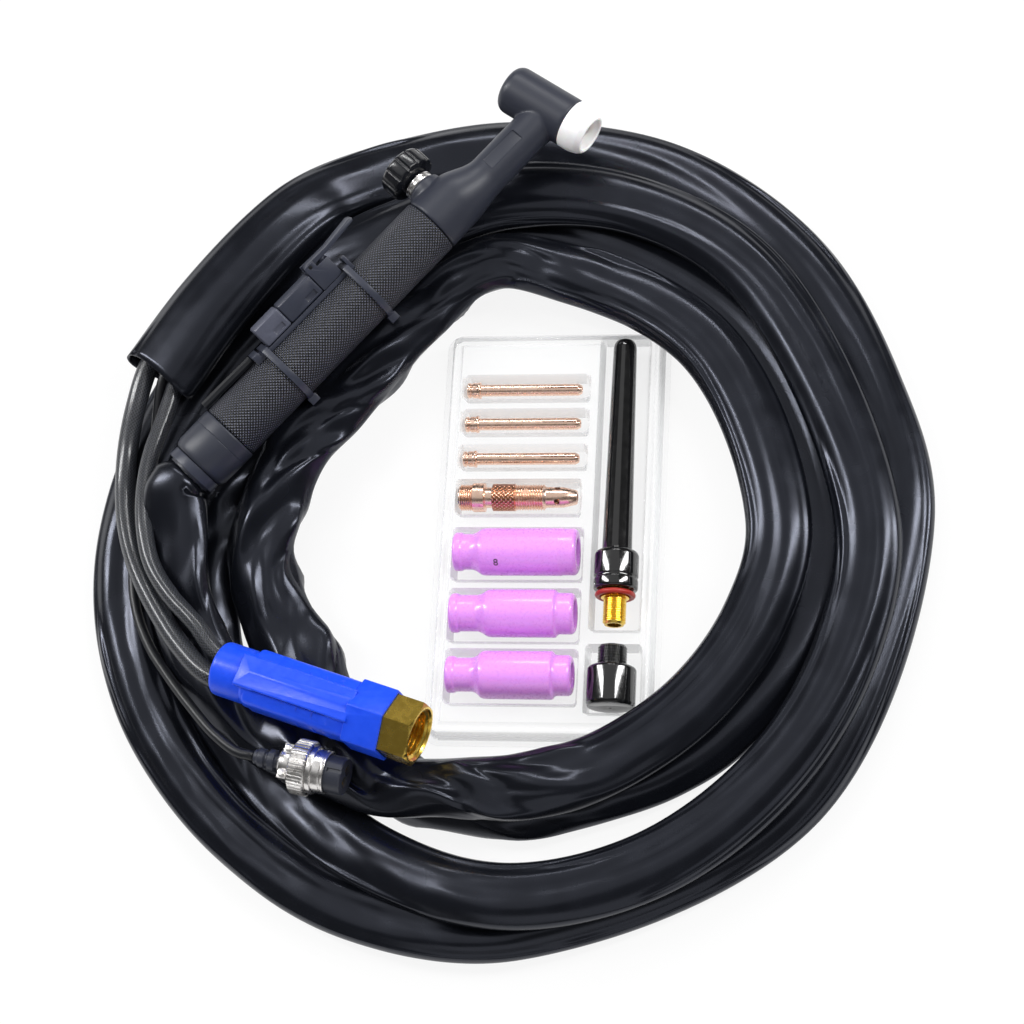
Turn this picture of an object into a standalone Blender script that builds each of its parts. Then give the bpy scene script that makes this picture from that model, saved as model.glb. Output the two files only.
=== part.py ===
"""Gas-cooled TIG welding torch with its lead, connectors and consumables tray.

Metres, +Z up.  The lead lies coiled on the floor (z = 0), the torch rests on the coil and
the tray of consumables lies inside it.  The origin is the middle of the footprint of the
torch and the tray, on the floor.
"""
import math

import bmesh
import bpy
from mathutils import Matrix, Vector

# ---------------------------------------------------------------- general
GAP = 0.0003                 # between pieces that touch
RUN = 0.0001                # running clearance of turning and sliding pieces

# ---------------------------------------------------------------- layout on the floor
COIL_CENTRE = (0.001, -0.016)
TORCH_AT = (-0.1177, 0.0310, 0.0352)      # axis of the grip at its rear end
TORCH_HEADING = 44.7
TORCH_LIFT = 3.6
TORCH_ROLL = 3.0
CONNECTOR_AT = (-0.1160, -0.0762, 0.0408)  # axis of the blue grip at its rear end
CONNECTOR_HEADING = -21.5
CONNECTOR_LIFT = 4.0
PLUG_AT = (-0.1010, -0.1135, 0.0363)       # axis of the plug at its rear end
PLUG_HEADING = -15.0
PLUG_LIFT = 2.5
TRAY_AT = (0.0166, -0.0130, 0.0)
TRAY_HEADING = -3.1

# ---------------------------------------------------------------- torch handle
GRIP_LENGTH = 0.1253
GRIP_R = 0.0133
GRIP_WALL = 0.0025
GRIP_SPIGOT_LENGTH = 0.0090
GRIP_SPIGOT_R = 0.0116
BOOT_LENGTH = 0.0200
BOOT_R = 0.0138
BOOT_BORE_R = 0.0062
BOOT_TAIL_LENGTH = 0.0060
BOOT_TAIL_R = 0.0102
BOOT_TIE_WIDTH = 0.0045
BOOT_TIE_THICKNESS = 0.0016

# ---------------------------------------------------------------- torch body and head
BODY_SHANK_LENGTH = 0.0120
FLARE_LENGTH = 0.0330
FLARE_STRAIGHT = 0.0170
NECK_R = 0.0090
NECK_OFFSET = 0.0024         # of the neck from the handle's axis, away from the valve
HEAD_DISTANCE = 0.0727       # grip front to the barrel axis
HEAD_ANGLE = 81.0            # between the handle and the barrel
BARREL_R = 0.0110
BARREL_BACK = 0.0223
BARREL_FRONT = 0.0112
BARREL_BORE_R = 0.0073
BARREL_EDGE_R = 0.0028
INSERT_BORE_R = 0.0053
INSERT_REAR_DEPTH = 0.0085
CUP_LENGTH = 0.0106
CUP_FRONT_R = 0.00865
CUP_BORE_R = 0.00725
CUP_SPIGOT_LENGTH = 0.0040
CUP_SPIGOT_R = 0.0084
NECK_TUBE_R = 0.0030
PLATE_LENGTH = 0.0190        # bare oblong flat on top of the neck
PLATE_WIDTH = 0.0067
PLATE_FROM_GRIP = 0.0446

# ---------------------------------------------------------------- gas valve
VALVE_FROM_GRIP = 0.0100
VALVE_BLOCK_R = 0.0078
VALVE_BLOCK_LENGTH = 0.0230
VALVE_BOSS_R = 0.0058
VALVE_FACE = 0.0150          # boss face from the handle axis
VALVE_SHROUD_R = 0.0086
COLLAR_R = 0.0070
COLLAR_THICKNESS = 0.0036
STEM_R = 0.0024
STEM_INNER_END = 0.0060
KNOB_R = 0.0114
KNOB_THICKNESS = 0.0108
KNOB_STANDOFF = 0.0045
KNOB_RIBS = 12
KNOB_RIB_DEPTH = 0.0011
VALVE_TRAVEL = 0.0015

# ---------------------------------------------------------------- hose joint in the handle
JOINT_NUT_AF = 0.0136
JOINT_NUT_LENGTH = 0.0110
CRIMP_R = 0.0066
CRIMP_LENGTH = 0.0160
TAIL_HOSE_R = 0.0045

# ---------------------------------------------------------------- finger switch
SWITCH_FROM_REAR = 0.0547    # middle of the housing from the grip's rear end
SWITCH_TURN = 36.0           # round the grip, up from its left side
SWITCH_WIDTH = 0.0104
SWITCH_BASE_TOP = 0.0150
SWITCH_HEIGHT = 0.0096
SWITCH_HOUSING_LENGTH = 0.0197
SWITCH_COVER_LENGTH = 0.0146
BRACKET_LENGTH = 0.0112
BASE_TAIL_LENGTH = 0.0085
BASE_NOSE_LENGTH = 0.0055
EAR_THICKNESS = 0.0013
EAR_HEIGHT = 0.0030
PIVOT_R = 0.0008
PIVOT_SETBACK = 0.0026
PIVOT_HEIGHT = 0.0017
LEVER_LENGTH = 0.0275
LEVER_THICKNESS = 0.0018
LEVER_TRAVEL = 4.0
BUTTON_R = 0.0019
BUTTON_FROM_PIVOT = 0.0065
WINDOW_LENGTH = 0.0055
WINDOW_HEIGHT = 0.0026
WINDOW_DEPTH = 0.0008
TIE_WIDTH = 0.0030
TIE_THICKNESS = 0.0011
TIE_HEAD = 0.0044
TIE_HEAD_TURN = -104.0
SWITCH_LEAD_D = 0.0040

# ---------------------------------------------------------------- lead
SHEATH_WIDTH = 0.0280
SHEATH_THICKNESS = 0.0120
SHEATH_WALL = 0.0009
SHEATH_STEP = 0.0470
MOUTH_START_WIDTH = 0.0290
MOUTH_START_THICKNESS = 0.0145
MOUTH_WIDTH = 0.0330
MOUTH_THICKNESS = 0.0180
POWER_HOSE_D = 0.0092
GAS_HOSE_D = 0.0076
CONTROL_CABLE_D = 0.0045

# Stations of the coil: compass angle round its centre, radius, height of the axis, tilt.
FIRST_TURN = (
    (180, 0.1430, 0.0290, 16), (192, 0.1430, 0.0235, 18), (206, 0.1375, 0.0195, 8),
    (225, 0.1270, 0.0192, 0), (247, 0.1165, 0.0192, 0), (270, 0.1110, 0.0192, 0),
    (315, 0.1160, 0.0192, 0), (360, 0.1150, 0.0192, 0), (405, 0.1190, 0.0192, 0),
    (450, 0.1250, 0.0192, 0), (475, 0.1065, 0.0192, 0), (495, 0.1000, 0.0192, 0),
    (517, 0.1025, 0.0192, 0),
)
SECOND_TURN = (
    (540, 0.1060, 0.0175, 0), (562, 0.1065, 0.0115, 0), (585, 0.1095, 0.0066, 0),
    (607, 0.1140, 0.0066, 0), (630, 0.1185, 0.0066, 0), (652, 0.1205, 0.0066, 0),
    (664, 0.1262, 0.0066, 0), (675, 0.1290, 0.0066, 0), (697, 0.1318, 0.0066, 0),
    (720, 0.1330, 0.0066, 0), (765, 0.1400, 0.0066, 0), (810, 0.1510, 0.0066, 0),
    (835, 0.1380, 0.0066, 0), (855, 0.1325, 0.0066, 0), (877, 0.1320, 0.0066, 0),
)
THIRD_TURN = (
    (900, 0.1360, 0.0066, 0), (922, 0.1405, 0.0066, 0), (945, 0.1410, 0.0075, 0),
    (967, 0.1440, 0.0130, 0), (990, 0.1505, 0.0195, 0), (1012, 0.1480, 0.0195, 0),
    (1035, 0.1475, 0.0195, 0), (1080, 0.1500, 0.0195, 0), (1125, 0.1560, 0.0195, 0),
    (1148, 0.1600, 0.0195, 0), (1170, 0.1590, 0.0195, 0), (1187, 0.1525, 0.0200, 0),
    (1195, 0.1525, 0.0202, 0), (1207, 0.1575, 0.0155, 0), (1220, 0.1635, 0.0080, 0),
    (1237, 0.1670, 0.0066, 0),
)
FOURTH_TURN = (
    (1260, 0.1720, 0.0066, 0), (1282, 0.1715, 0.0066, 0), (1305, 0.1700, 0.0066, 0),
    (1327, 0.1690, 0.0066, 0), (1350, 0.1655, 0.0066, 0), (1395, 0.1645, 0.0066, 0),
    (1440, 0.1655, 0.0066, 0), (1462, 0.1675, 0.0066, 0), (1485, 0.1755, 0.0066, 0),
    (1508, 0.1835, 0.0066, 0), (1530, 0.1860, 0.0070, 0), (1545, 0.1865, 0.0100, 0),
    (1555, 0.1845, 0.0180, 0), (1560, 0.1815, 0.0235, 0), (1567, 0.1770, 0.0265, 0),
    (1580, 0.1725, 0.0270, 0), (1593, 0.1740, 0.0255, 0),
)

# Route points of the hoses and the cable from the mouth of the sheath to their plugs.
POWER_HOSE_ROUTE = (
    (-0.1650, 0.0500, 0.0235), (-0.1685, 0.0330, 0.0205), (-0.1690, 0.0160, 0.0200),
    (-0.1668, -0.0010, 0.0225), (-0.1620, -0.0180, 0.0258), (-0.1545, -0.0345, 0.0300),
    (-0.1455, -0.0500, 0.0335), (-0.1355, -0.0645, 0.0368),
)
GAS_HOSE_ROUTE = (
    (-0.1505, 0.0430, 0.0265), (-0.1550, 0.0260, 0.0285), (-0.1563, 0.0080, 0.0315),
    (-0.1545, -0.0100, 0.0345), (-0.1500, -0.0270, 0.0365), (-0.1405, -0.0425, 0.0392),
    (-0.1280, -0.0565, 0.0410),
)
CONTROL_CABLE_ROUTE = (
    (-0.1570, 0.0420, 0.0178), (-0.1585, 0.0250, 0.0148), (-0.1600, 0.0080, 0.0145),
    (-0.1630, -0.0080, 0.0145), (-0.1650, -0.0240, 0.0145), (-0.1620, -0.0420, 0.0160),
    (-0.1545, -0.0590, 0.0190), (-0.1440, -0.0740, 0.0240), (-0.1320, -0.0890, 0.0295),
    (-0.1195, -0.1030, 0.0340),
)

# ---------------------------------------------------------------- gas and power connector
CG_LENGTH = 0.0800
CG_R = 0.0115
CG_RIB_R = 0.0121
CG_BORE_R = 0.0098
CG_RIBS = 6
CG_RIB_PITCH = 0.0072
CG_RIB_START = 0.0150
CG_HEX_AF = 0.0268
CG_HEX_LENGTH = 0.0160
CG_PANEL_WIDTH = 0.0120
CG_PANEL_START = 0.0130
CG_PANEL_LENGTH = 0.0480
NUT_AF = 0.0240
NUT_LENGTH = 0.0250
NUT_SEATED = 0.0125          # length held inside the blue grip
NUT_BORE_R = 0.0100
NUT_FLOOR = 0.0035
NUT_CHAMFER = 0.0008
NIPPLE_NECK_R = 0.0050
NIPPLE_COLLAR_R = 0.0084
NIPPLE_COLLAR_LENGTH = 0.0040
NIPPLE_NOSE_LENGTH = 0.0045
MANIFOLD_R = 0.0088
MANIFOLD_LENGTH = 0.0090
FERRULE_LENGTH = 0.0120

# ---------------------------------------------------------------- two-pin control plug
RELIEF_LENGTH = 0.0110
RELIEF_R = 0.0046
PLUG_CLAMP_LENGTH = 0.0062
PLUG_CLAMP_R = 0.0062
PLUG_SHELL_R = 0.0090
PLUG_SHELL_LENGTH = 0.0150
PLUG_FLANGE_R = 0.0100
PLUG_FLANGE_LENGTH = 0.0022
PLUG_RING_R = 0.0115
PLUG_RING_LENGTH = 0.0075
PLUG_INSERT_R = 0.0078
PLUG_INSERT_PROUD = 0.0072
PLUG_PIN_R = 0.0013
PLUG_PIN_SPACING = 0.0052
PLUG_SOCKET_DEPTH = 0.0090

# ---------------------------------------------------------------- consumables
COLLET_LENGTH = 0.0510
COLLET_R = 0.0026
COLLET_HEAD_LENGTH = 0.0062
COLLET_HEAD_R = 0.0037
COLLET_BORE_R = 0.0012
COLLET_ROWS = (0.0672, 0.0512, 0.0350)     # across the tray
COLLET_BODY_ROW = 0.0162
COLLET_BODY_LENGTH = 0.0515
COLLET_BODY_BORE_R = 0.0029
NOZZLE_ROWS = (-0.0098, -0.0372, -0.0642)
NOZZLE_LENGTH = 0.0535
NOZZLE_R = 0.0102
NOZZLE_WALL = 0.0019
NOZZLE_NECK_R = (0.0077, 0.0078, 0.0072)
NOZZLE_NECK_LENGTH = (0.0090, 0.0130, 0.0120)
NOZZLE_LIP_R = (0.0100, 0.0088, 0.0086)
KIT_LEFT = -0.0392           # rear ends of the collets and nozzles
LONG_CAP_LENGTH = 0.1153
LONG_CAP_TIP_R = 0.0050
LONG_CAP_R = 0.0064
LONG_CAP_COLLAR_R = 0.0095
LONG_CAP_COLLAR_LENGTH = 0.0175
CAP_THREAD_R = 0.0049
CAP_THREAD_LENGTH = 0.0118
CAP_STEP_R = 0.0060
CAP_STEP_LENGTH = 0.0030
ORING_R = 0.0012
CAP_COLUMN = 0.0308          # across the tray
SHORT_CAP_R = 0.0104
SHORT_CAP_LENGTH = 0.0175
SHORT_CAP_NECK_R = 0.0062
SHORT_CAP_NECK_LENGTH = 0.0090
CAP_SPACING = 0.0096         # between the two caps, end to end
CAP_COLUMN_MIDDLE = 0.00525
LONG_CAP_OVERALL = LONG_CAP_LENGTH + GAP + CAP_STEP_LENGTH + CAP_THREAD_LENGTH
CAP_COLUMN_LENGTH = LONG_CAP_OVERALL + CAP_SPACING + SHORT_CAP_NECK_LENGTH + SHORT_CAP_LENGTH
LONG_CAP_TOP = CAP_COLUMN_MIDDLE + CAP_COLUMN_LENGTH / 2      # tip of the long cap along the tray
SHORT_CAP_TOP = LONG_CAP_TOP - LONG_CAP_OVERALL - CAP_SPACING

# ---------------------------------------------------------------- clear tray
TRAY_LEFT = -0.0500
TRAY_RIGHT = 0.0500
TRAY_BOTTOM = CAP_COLUMN_MIDDLE - CAP_COLUMN_LENGTH / 2 - 0.0145
TRAY_TOP = LONG_CAP_TOP + 0.0065
TRAY_HEIGHT = 0.0090
TRAY_SHEET = 0.0006
TRAY_FLANGE = 0.0025
TRAY_DRAFT = 0.0010
POCKET_ROOM = 0.0016         # free sheet between a piece and its pocket wall


# ================================================================ helpers
def clear_scene():
    """Start from an empty scene."""
    for item in list(bpy.data.objects):
        bpy.data.objects.remove(item, do_unlink=True)


def material(name, colour, roughness, metallic=0.0, alpha=1.0):
    """A plain Principled finish."""
    finish = bpy.data.materials.get(name)
    if finish:
        return finish
    finish = bpy.data.materials.new(name)
    finish.use_nodes = True
    shader = finish.node_tree.nodes["Principled BSDF"]
    shader.inputs["Base Color"].default_value = (*colour, 1.0)
    shader.inputs["Roughness"].default_value = roughness
    shader.inputs["Metallic"].default_value = metallic
    shader.inputs["Alpha"].default_value = alpha
    finish.diffuse_color = (*colour, 1.0)
    return finish


def frame_at(name, location, heading=0.0, lift=0.0, roll=0.0, parent=None):
    """An empty whose +X points along the heading, raised by the lift."""
    empty = bpy.data.objects.new(name, None)
    bpy.context.collection.objects.link(empty)
    turn = (Matrix.Rotation(math.radians(heading), 4, "Z")
            @ Matrix.Rotation(math.radians(-lift), 4, "Y")
            @ Matrix.Rotation(math.radians(roll), 4, "X"))
    empty.matrix_local = Matrix.Translation(Vector(location)) @ turn
    if parent:
        empty.parent = parent
    bpy.context.view_layer.update()
    return empty


def add_object(name, mesh, parent, location=(0, 0, 0), rotation=(0, 0, 0), finish=None):
    """Link a mesh object under its frame; the rotation is in degrees."""
    item = bpy.data.objects.new(name, mesh)
    bpy.context.collection.objects.link(item)
    item.parent = parent
    item.location = location
    item.rotation_euler = [math.radians(angle) for angle in rotation]
    if finish:
        item.data.materials.append(finish)
    return item


def finish_mesh(bm, name, smooth_angle=35.0):
    """Turn a bmesh into a mesh with outward faces, smooth on its round sides."""
    bmesh.ops.recalc_face_normals(bm, faces=bm.faces)
    mesh = bpy.data.meshes.new(name)
    bm.to_mesh(mesh)
    bm.free()
    mesh.shade_smooth()
    mesh.set_sharp_from_angle(angle=math.radians(smooth_angle))
    return mesh


def turned_mesh(name, profile, segments, hollow=False, phase=0.0):
    """Turn a profile of (x, r) points about the X axis.

    A solid profile starts and ends on the axis; a hollow one is a closed loop of points.
    """
    bm = bmesh.new()
    rings = []
    for along, radius in profile:
        if radius <= 0.0:
            rings.append([bm.verts.new((along, 0.0, 0.0))])
            continue
        ring = []
        for step in range(segments):
            angle = math.tau * (step + phase) / segments
            ring.append(bm.verts.new((along, radius * math.cos(angle), radius * math.sin(angle))))
        rings.append(ring)
    pairs = list(zip(rings, rings[1:]))
    if hollow:
        pairs.append((rings[-1], rings[0]))
    for first, second in pairs:
        for step in range(segments):
            after = (step + 1) % segments
            corners = [first[step % len(first)], first[after % len(first)],
                       second[after % len(second)], second[step % len(second)]]
            unique = list(dict.fromkeys(corners))
            if len(unique) > 2:
                bm.faces.new(unique)
    return finish_mesh(bm, name)


def turned(name, profile, parent, finish, segments=24, hollow=False, at=(0, 0, 0), rotation=(0, 0, 0),
           phase=0.0):
    """A turned piece placed in its frame, its axis along its own X."""
    points = list(profile)
    if not hollow:
        points = [(points[0][0], 0.0)] + points + [(points[-1][0], 0.0)]
    mesh = turned_mesh(name, points, segments, hollow, phase)
    return add_object(name, mesh, parent, at, rotation, finish)


def box_mesh(name, low, high, bevel=0.0, bevel_segments=1):
    """A block between two corners, its edges rounded by the bevel."""
    bm = bmesh.new()
    bmesh.ops.create_cube(bm, size=1.0)
    size = [high[i] - low[i] for i in range(3)]
    middle = [(high[i] + low[i]) / 2 for i in range(3)]
    bmesh.ops.scale(bm, vec=size, verts=bm.verts)
    bmesh.ops.translate(bm, vec=middle, verts=bm.verts)
    if bevel:
        bmesh.ops.bevel(bm, geom=list(bm.edges), offset=bevel, segments=bevel_segments,
                        affect="EDGES", profile=0.5)
    return finish_mesh(bm, name)


def block(name, low, high, parent, finish=None, bevel=0.0, bevel_segments=1):
    """A block placed in its frame."""
    return add_object(name, box_mesh(name, low, high, bevel, bevel_segments), parent, finish=finish)


def prism_mesh(name, outline, low, high, axis="X"):
    """Extrude a closed outline of (a, b) points between two planes across an axis."""
    places = {
        "X": lambda a, b, c: (c, a, b),
        "Y": lambda a, b, c: (a, c, b),
        "Z": lambda a, b, c: (a, b, c),
    }
    place = places[axis]
    bm = bmesh.new()
    lower = [bm.verts.new(place(a, b, low)) for a, b in outline]
    upper = [bm.verts.new(place(a, b, high)) for a, b in outline]
    bm.faces.new(lower)
    bm.faces.new(upper)
    count = len(outline)
    for step in range(count):
        after = (step + 1) % count
        bm.faces.new((lower[step], lower[after], upper[after], upper[step]))
    return finish_mesh(bm, name, 30.0)


def hexagon(across_flats):
    """Corners of a regular hexagon."""
    corner_r = across_flats / math.sqrt(3.0)
    return [(corner_r * math.cos(math.radians(60 * step)), corner_r * math.sin(math.radians(60 * step)))
            for step in range(6)]


def boolean(target, tool, operation="DIFFERENCE"):
    """Cut, join or intersect with a tool that stays out of the model."""
    tool.hide_render = True
    tool.display_type = "WIRE"
    step = target.modifiers.new(operation.title(), "BOOLEAN")
    step.operation = operation
    step.solver = "EXACT"
    step.object = tool
    return step


def smooth_route(points, step):
    """Points along a smooth curve through the route's own points, a step apart.

    Each point may carry more values after its first three, which follow it smoothly.
    """
    rows = [list(point) for point in points]
    ends = ([2 * a - b for a, b in zip(rows[0], rows[1])], [2 * a - b for a, b in zip(rows[-1], rows[-2])])
    rows = [ends[0]] + rows + [ends[1]]
    dense = []
    for index in range(1, len(rows) - 2):
        before, start, end, after = rows[index - 1:index + 3]
        knots = [0.0]
        for first, second in ((before, start), (start, end), (end, after)):
            gap = math.dist(first[:3], second[:3])
            knots.append(knots[-1] + math.sqrt(max(gap, 1e-6)))
        for part in range(12):
            t = knots[1] + (knots[2] - knots[1]) * part / 12
            dense.append(catmull_point(before, start, end, after, knots, t))
    dense.append(rows[-2])
    lengths = [0.0]
    for first, second in zip(dense, dense[1:]):
        lengths.append(lengths[-1] + math.dist(first[:3], second[:3]))
    count = max(2, round(lengths[-1] / step))
    result = []
    place = 0
    for number in range(count + 1):
        goal = lengths[-1] * number / count
        while place < len(lengths) - 2 and lengths[place + 1] < goal:
            place += 1
        span = lengths[place + 1] - lengths[place]
        share = min(1.0, max(0.0, (goal - lengths[place]) / span))
        result.append([a + (b - a) * share for a, b in zip(dense[place], dense[place + 1])])
    return result


def catmull_point(before, start, end, after, knots, t):
    """One point of a centripetal Catmull-Rom span."""
    def mix(first, second, low, high):
        share = (t - low) / (high - low)
        return [a + (b - a) * share for a, b in zip(first, second)]

    a1 = mix(before, start, knots[0], knots[1])
    a2 = mix(start, end, knots[1], knots[2])
    a3 = mix(end, after, knots[2], knots[3])
    b1 = mix(a1, a2, knots[0], knots[2])
    b2 = mix(a2, a3, knots[1], knots[3])
    return mix(b1, b2, knots[1], knots[2])


def cord(name, points, diameter, finish, sides=2, spacing=2.6):
    """A round cord along a smooth curve through the route's points."""
    curve = bpy.data.curves.new(name, "CURVE")
    curve.dimensions = "3D"
    curve.bevel_depth = diameter / 2
    curve.bevel_resolution = sides
    curve.use_fill_caps = True
    spline = curve.splines.new("POLY")
    route = smooth_route(points, spacing * diameter)
    spline.points.add(len(route) - 1)
    for place, point in zip(spline.points, route):
        place.co = (*point[:3], 1.0)
    spline.use_smooth = True
    curve.materials.append(finish)
    item = bpy.data.objects.new(name, curve)
    bpy.context.collection.objects.link(item)
    return item


def torch_point(torch, x, y=0.0, z=0.0):
    """A point of a frame in floor coordinates."""
    return torch.matrix_world @ Vector((x, y, z))


# ================================================================ finishes
RUBBER = material("moulded_rubber_black", (0.030, 0.032, 0.035), 0.55)
GRIP_PLASTIC = material("grip_plastic_black", (0.022, 0.023, 0.025), 0.45)
SHEATH_PVC = material("sheath_pvc_black", (0.016, 0.017, 0.020), 0.28)
HOSE_PVC = material("braided_hose", (0.060, 0.060, 0.062), 0.30)
INSULATOR_WHITE = material("insulator_white", (0.86, 0.86, 0.85), 0.45)
BRASS = material("brass", (0.68, 0.47, 0.14), 0.25, 1.0)
COPPER = material("copper", (0.80, 0.42, 0.28), 0.22, 1.0)
NICKEL = material("nickel_plate", (0.62, 0.60, 0.57), 0.25, 1.0)
SWITCH_BLACK = material("switch_nylon_black", (0.030, 0.031, 0.034), 0.42)
SWITCH_GREY = material("switch_nylon_grey", (0.18, 0.18, 0.21), 0.45)
KNOB_BLACK = material("knob_bakelite_black", (0.012, 0.012, 0.013), 0.22)
CONNECTOR_BLUE = material("connector_blue", (0.010, 0.055, 0.72), 0.30)
ALUMINA = material("alumina_lilac", (0.60, 0.25, 0.64), 0.35)
CAP_BLACK = material("cap_phenolic_black", (0.008, 0.008, 0.010), 0.15)
ORING_RED = material("oring_red", (0.42, 0.03, 0.02), 0.45)
TRAY_CLEAR = material("tray_clear", (0.90, 0.92, 0.94), 0.10, 0.0, 0.35)


# ================================================================ torch body and head
def make_body(torch):
    """The moulded body: shank, flare, neck and barrel in one rubber moulding."""
    front = GRIP_LENGTH
    head_x = front + HEAD_DISTANCE
    shank_r = GRIP_R - GRIP_WALL - GAP
    shoulder = front + GAP
    flare_end = shoulder + FLARE_LENGTH
    profile = [(front - BODY_SHANK_LENGTH, shank_r), (shoulder, shank_r), (shoulder, GRIP_R)]
    profile.append((shoulder + FLARE_STRAIGHT, GRIP_R - 0.0004))
    taper_start = shoulder + FLARE_STRAIGHT
    for step in range(1, 6):
        share = step / 5
        ease = share * share * (3 - 2 * share)
        radius = GRIP_R - 0.0004 + (NECK_R - GRIP_R + 0.0004) * ease
        profile.append((taper_start + (flare_end - taper_start) * share, radius))
    profile.append((head_x, NECK_R))
    body = turned("torch_body", profile, torch, RUBBER, segments=32)
    for vert in body.data.vertices:
        share = min(1.0, max(0.0, (vert.co.x - taper_start) / (flare_end - taper_start)))
        vert.co.y -= NECK_OFFSET * share * share * (3 - 2 * share)

    barrel_profile = [(-BARREL_BACK, BARREL_R - BARREL_EDGE_R)]
    for angle in (30, 60, 90):
        turn = math.radians(angle)
        barrel_profile.append((-BARREL_BACK + BARREL_EDGE_R * (1 - math.cos(turn)),
                               BARREL_R - BARREL_EDGE_R * (1 - math.sin(turn))))
    barrel_profile.append((BARREL_FRONT, BARREL_R))
    barrel = turned("barrel_form", barrel_profile, torch, None, segments=32,
                    at=(head_x, -NECK_OFFSET, 0), rotation=(0, 0, -HEAD_ANGLE))
    boolean(body, barrel, "UNION")
    shroud = turned("valve_shroud_form", [(0.0, VALVE_SHROUD_R), (VALVE_FACE - 0.0008, VALVE_SHROUD_R),
                                          (VALVE_FACE, VALVE_SHROUD_R - 0.0008)],
                    torch, None, segments=28, at=(front + VALVE_FROM_GRIP, 0, 0), rotation=(0, 0, 90))
    boolean(body, shroud, "UNION")

    through = 0.030
    bore_steps = [(-through, BARREL_BORE_R), (BARREL_FRONT - CUP_SPIGOT_LENGTH, BARREL_BORE_R),
                  (BARREL_FRONT - CUP_SPIGOT_LENGTH, CUP_SPIGOT_R + GAP), (through, CUP_SPIGOT_R + GAP)]
    bore = turned("barrel_bore_cut", bore_steps, torch, None, segments=28,
                  at=(head_x, -NECK_OFFSET, 0), rotation=(0, 0, -HEAD_ANGLE), phase=0.37)
    boolean(body, bore)
    block_end = front + VALVE_FROM_GRIP + VALVE_BLOCK_LENGTH / 2
    cavity = turned("body_cavity_cut", [(front - through, VALVE_BLOCK_R + GAP),
                                        (block_end + GAP, VALVE_BLOCK_R + GAP)], torch, None, segments=24)
    boolean(body, cavity)
    tube_way = turned("neck_bore_cut", [(block_end - GAP, NECK_TUBE_R + GAP), (head_x, NECK_TUBE_R + GAP)],
                      torch, None, segments=16, at=(0, -NECK_OFFSET, 0), phase=0.37)
    boolean(body, tube_way)
    side = turned("valve_bore_cut", [(0.0, VALVE_BOSS_R + GAP), (through, VALVE_BOSS_R + GAP)],
                  torch, None, segments=24, at=(front + VALVE_FROM_GRIP, 0, 0), rotation=(0, 0, 90),
                  phase=0.37)
    boolean(body, side)

    plate_middle = front + PLATE_FROM_GRIP
    plate_level = math.sqrt(NECK_R ** 2 - (PLATE_WIDTH / 2) ** 2)
    plate = block("neck_plate_cut",
                  (plate_middle - PLATE_LENGTH / 2, -PLATE_WIDTH - NECK_OFFSET, plate_level),
                  (plate_middle + PLATE_LENGTH / 2, PLATE_WIDTH - NECK_OFFSET, plate_level + 0.01), torch)
    boolean(body, plate)
    return body


def make_head(torch):
    """Metal insert and white cup insulator of the barrel, and the tube that feeds it."""
    head = frame_at("head_frame", (GRIP_LENGTH + HEAD_DISTANCE, -NECK_OFFSET, 0), -HEAD_ANGLE, parent=torch)
    insert_r = BARREL_BORE_R - GAP
    insert_front = BARREL_FRONT - CUP_SPIGOT_LENGTH - GAP
    insert_back = -BARREL_BACK + INSERT_REAR_DEPTH
    turned("head_insert", [(insert_back, INSERT_BORE_R), (insert_back, insert_r),
                           (insert_front, insert_r), (insert_front, INSERT_BORE_R)],
           head, BRASS, hollow=True)
    cup_back = BARREL_FRONT + GAP
    turned("cup_insulator", [(cup_back - CUP_SPIGOT_LENGTH, CUP_BORE_R),
                             (cup_back - CUP_SPIGOT_LENGTH, CUP_SPIGOT_R), (cup_back, CUP_SPIGOT_R),
                             (cup_back, BARREL_R), (cup_back + CUP_LENGTH * 0.45, BARREL_R),
                             (cup_back + CUP_LENGTH * 0.78, (BARREL_R * 2 + CUP_FRONT_R) / 3),
                             (cup_back + CUP_LENGTH, CUP_FRONT_R), (cup_back + CUP_LENGTH, CUP_BORE_R)],
           head, INSULATOR_WHITE, hollow=True, segments=32)
    tube_start = GRIP_LENGTH + VALVE_FROM_GRIP + VALVE_BLOCK_LENGTH / 2 + 2 * GAP
    clear_x = (BARREL_BORE_R + NECK_TUBE_R * math.cos(math.radians(HEAD_ANGLE))) / math.sin(
        math.radians(HEAD_ANGLE))
    tube_end = GRIP_LENGTH + HEAD_DISTANCE - clear_x
    turned("neck_tube", [(tube_start, NECK_TUBE_R), (tube_end, NECK_TUBE_R)], torch, COPPER, segments=16,
           at=(0, -NECK_OFFSET, 0))


# ================================================================ gas valve
def knob_outline():
    """Outline of the fluted knob: broad ribs between narrow grooves."""
    points = []
    for rib in range(KNOB_RIBS):
        for share, radius in ((0.0, KNOB_R - KNOB_RIB_DEPTH), (0.14, KNOB_R - KNOB_RIB_DEPTH),
                              (0.24, KNOB_R), (0.57, KNOB_R + 0.0001), (0.90, KNOB_R)):
            angle = math.tau * (rib + share) / KNOB_RIBS
            points.append((radius * math.cos(angle), radius * math.sin(angle)))
    return points


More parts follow.
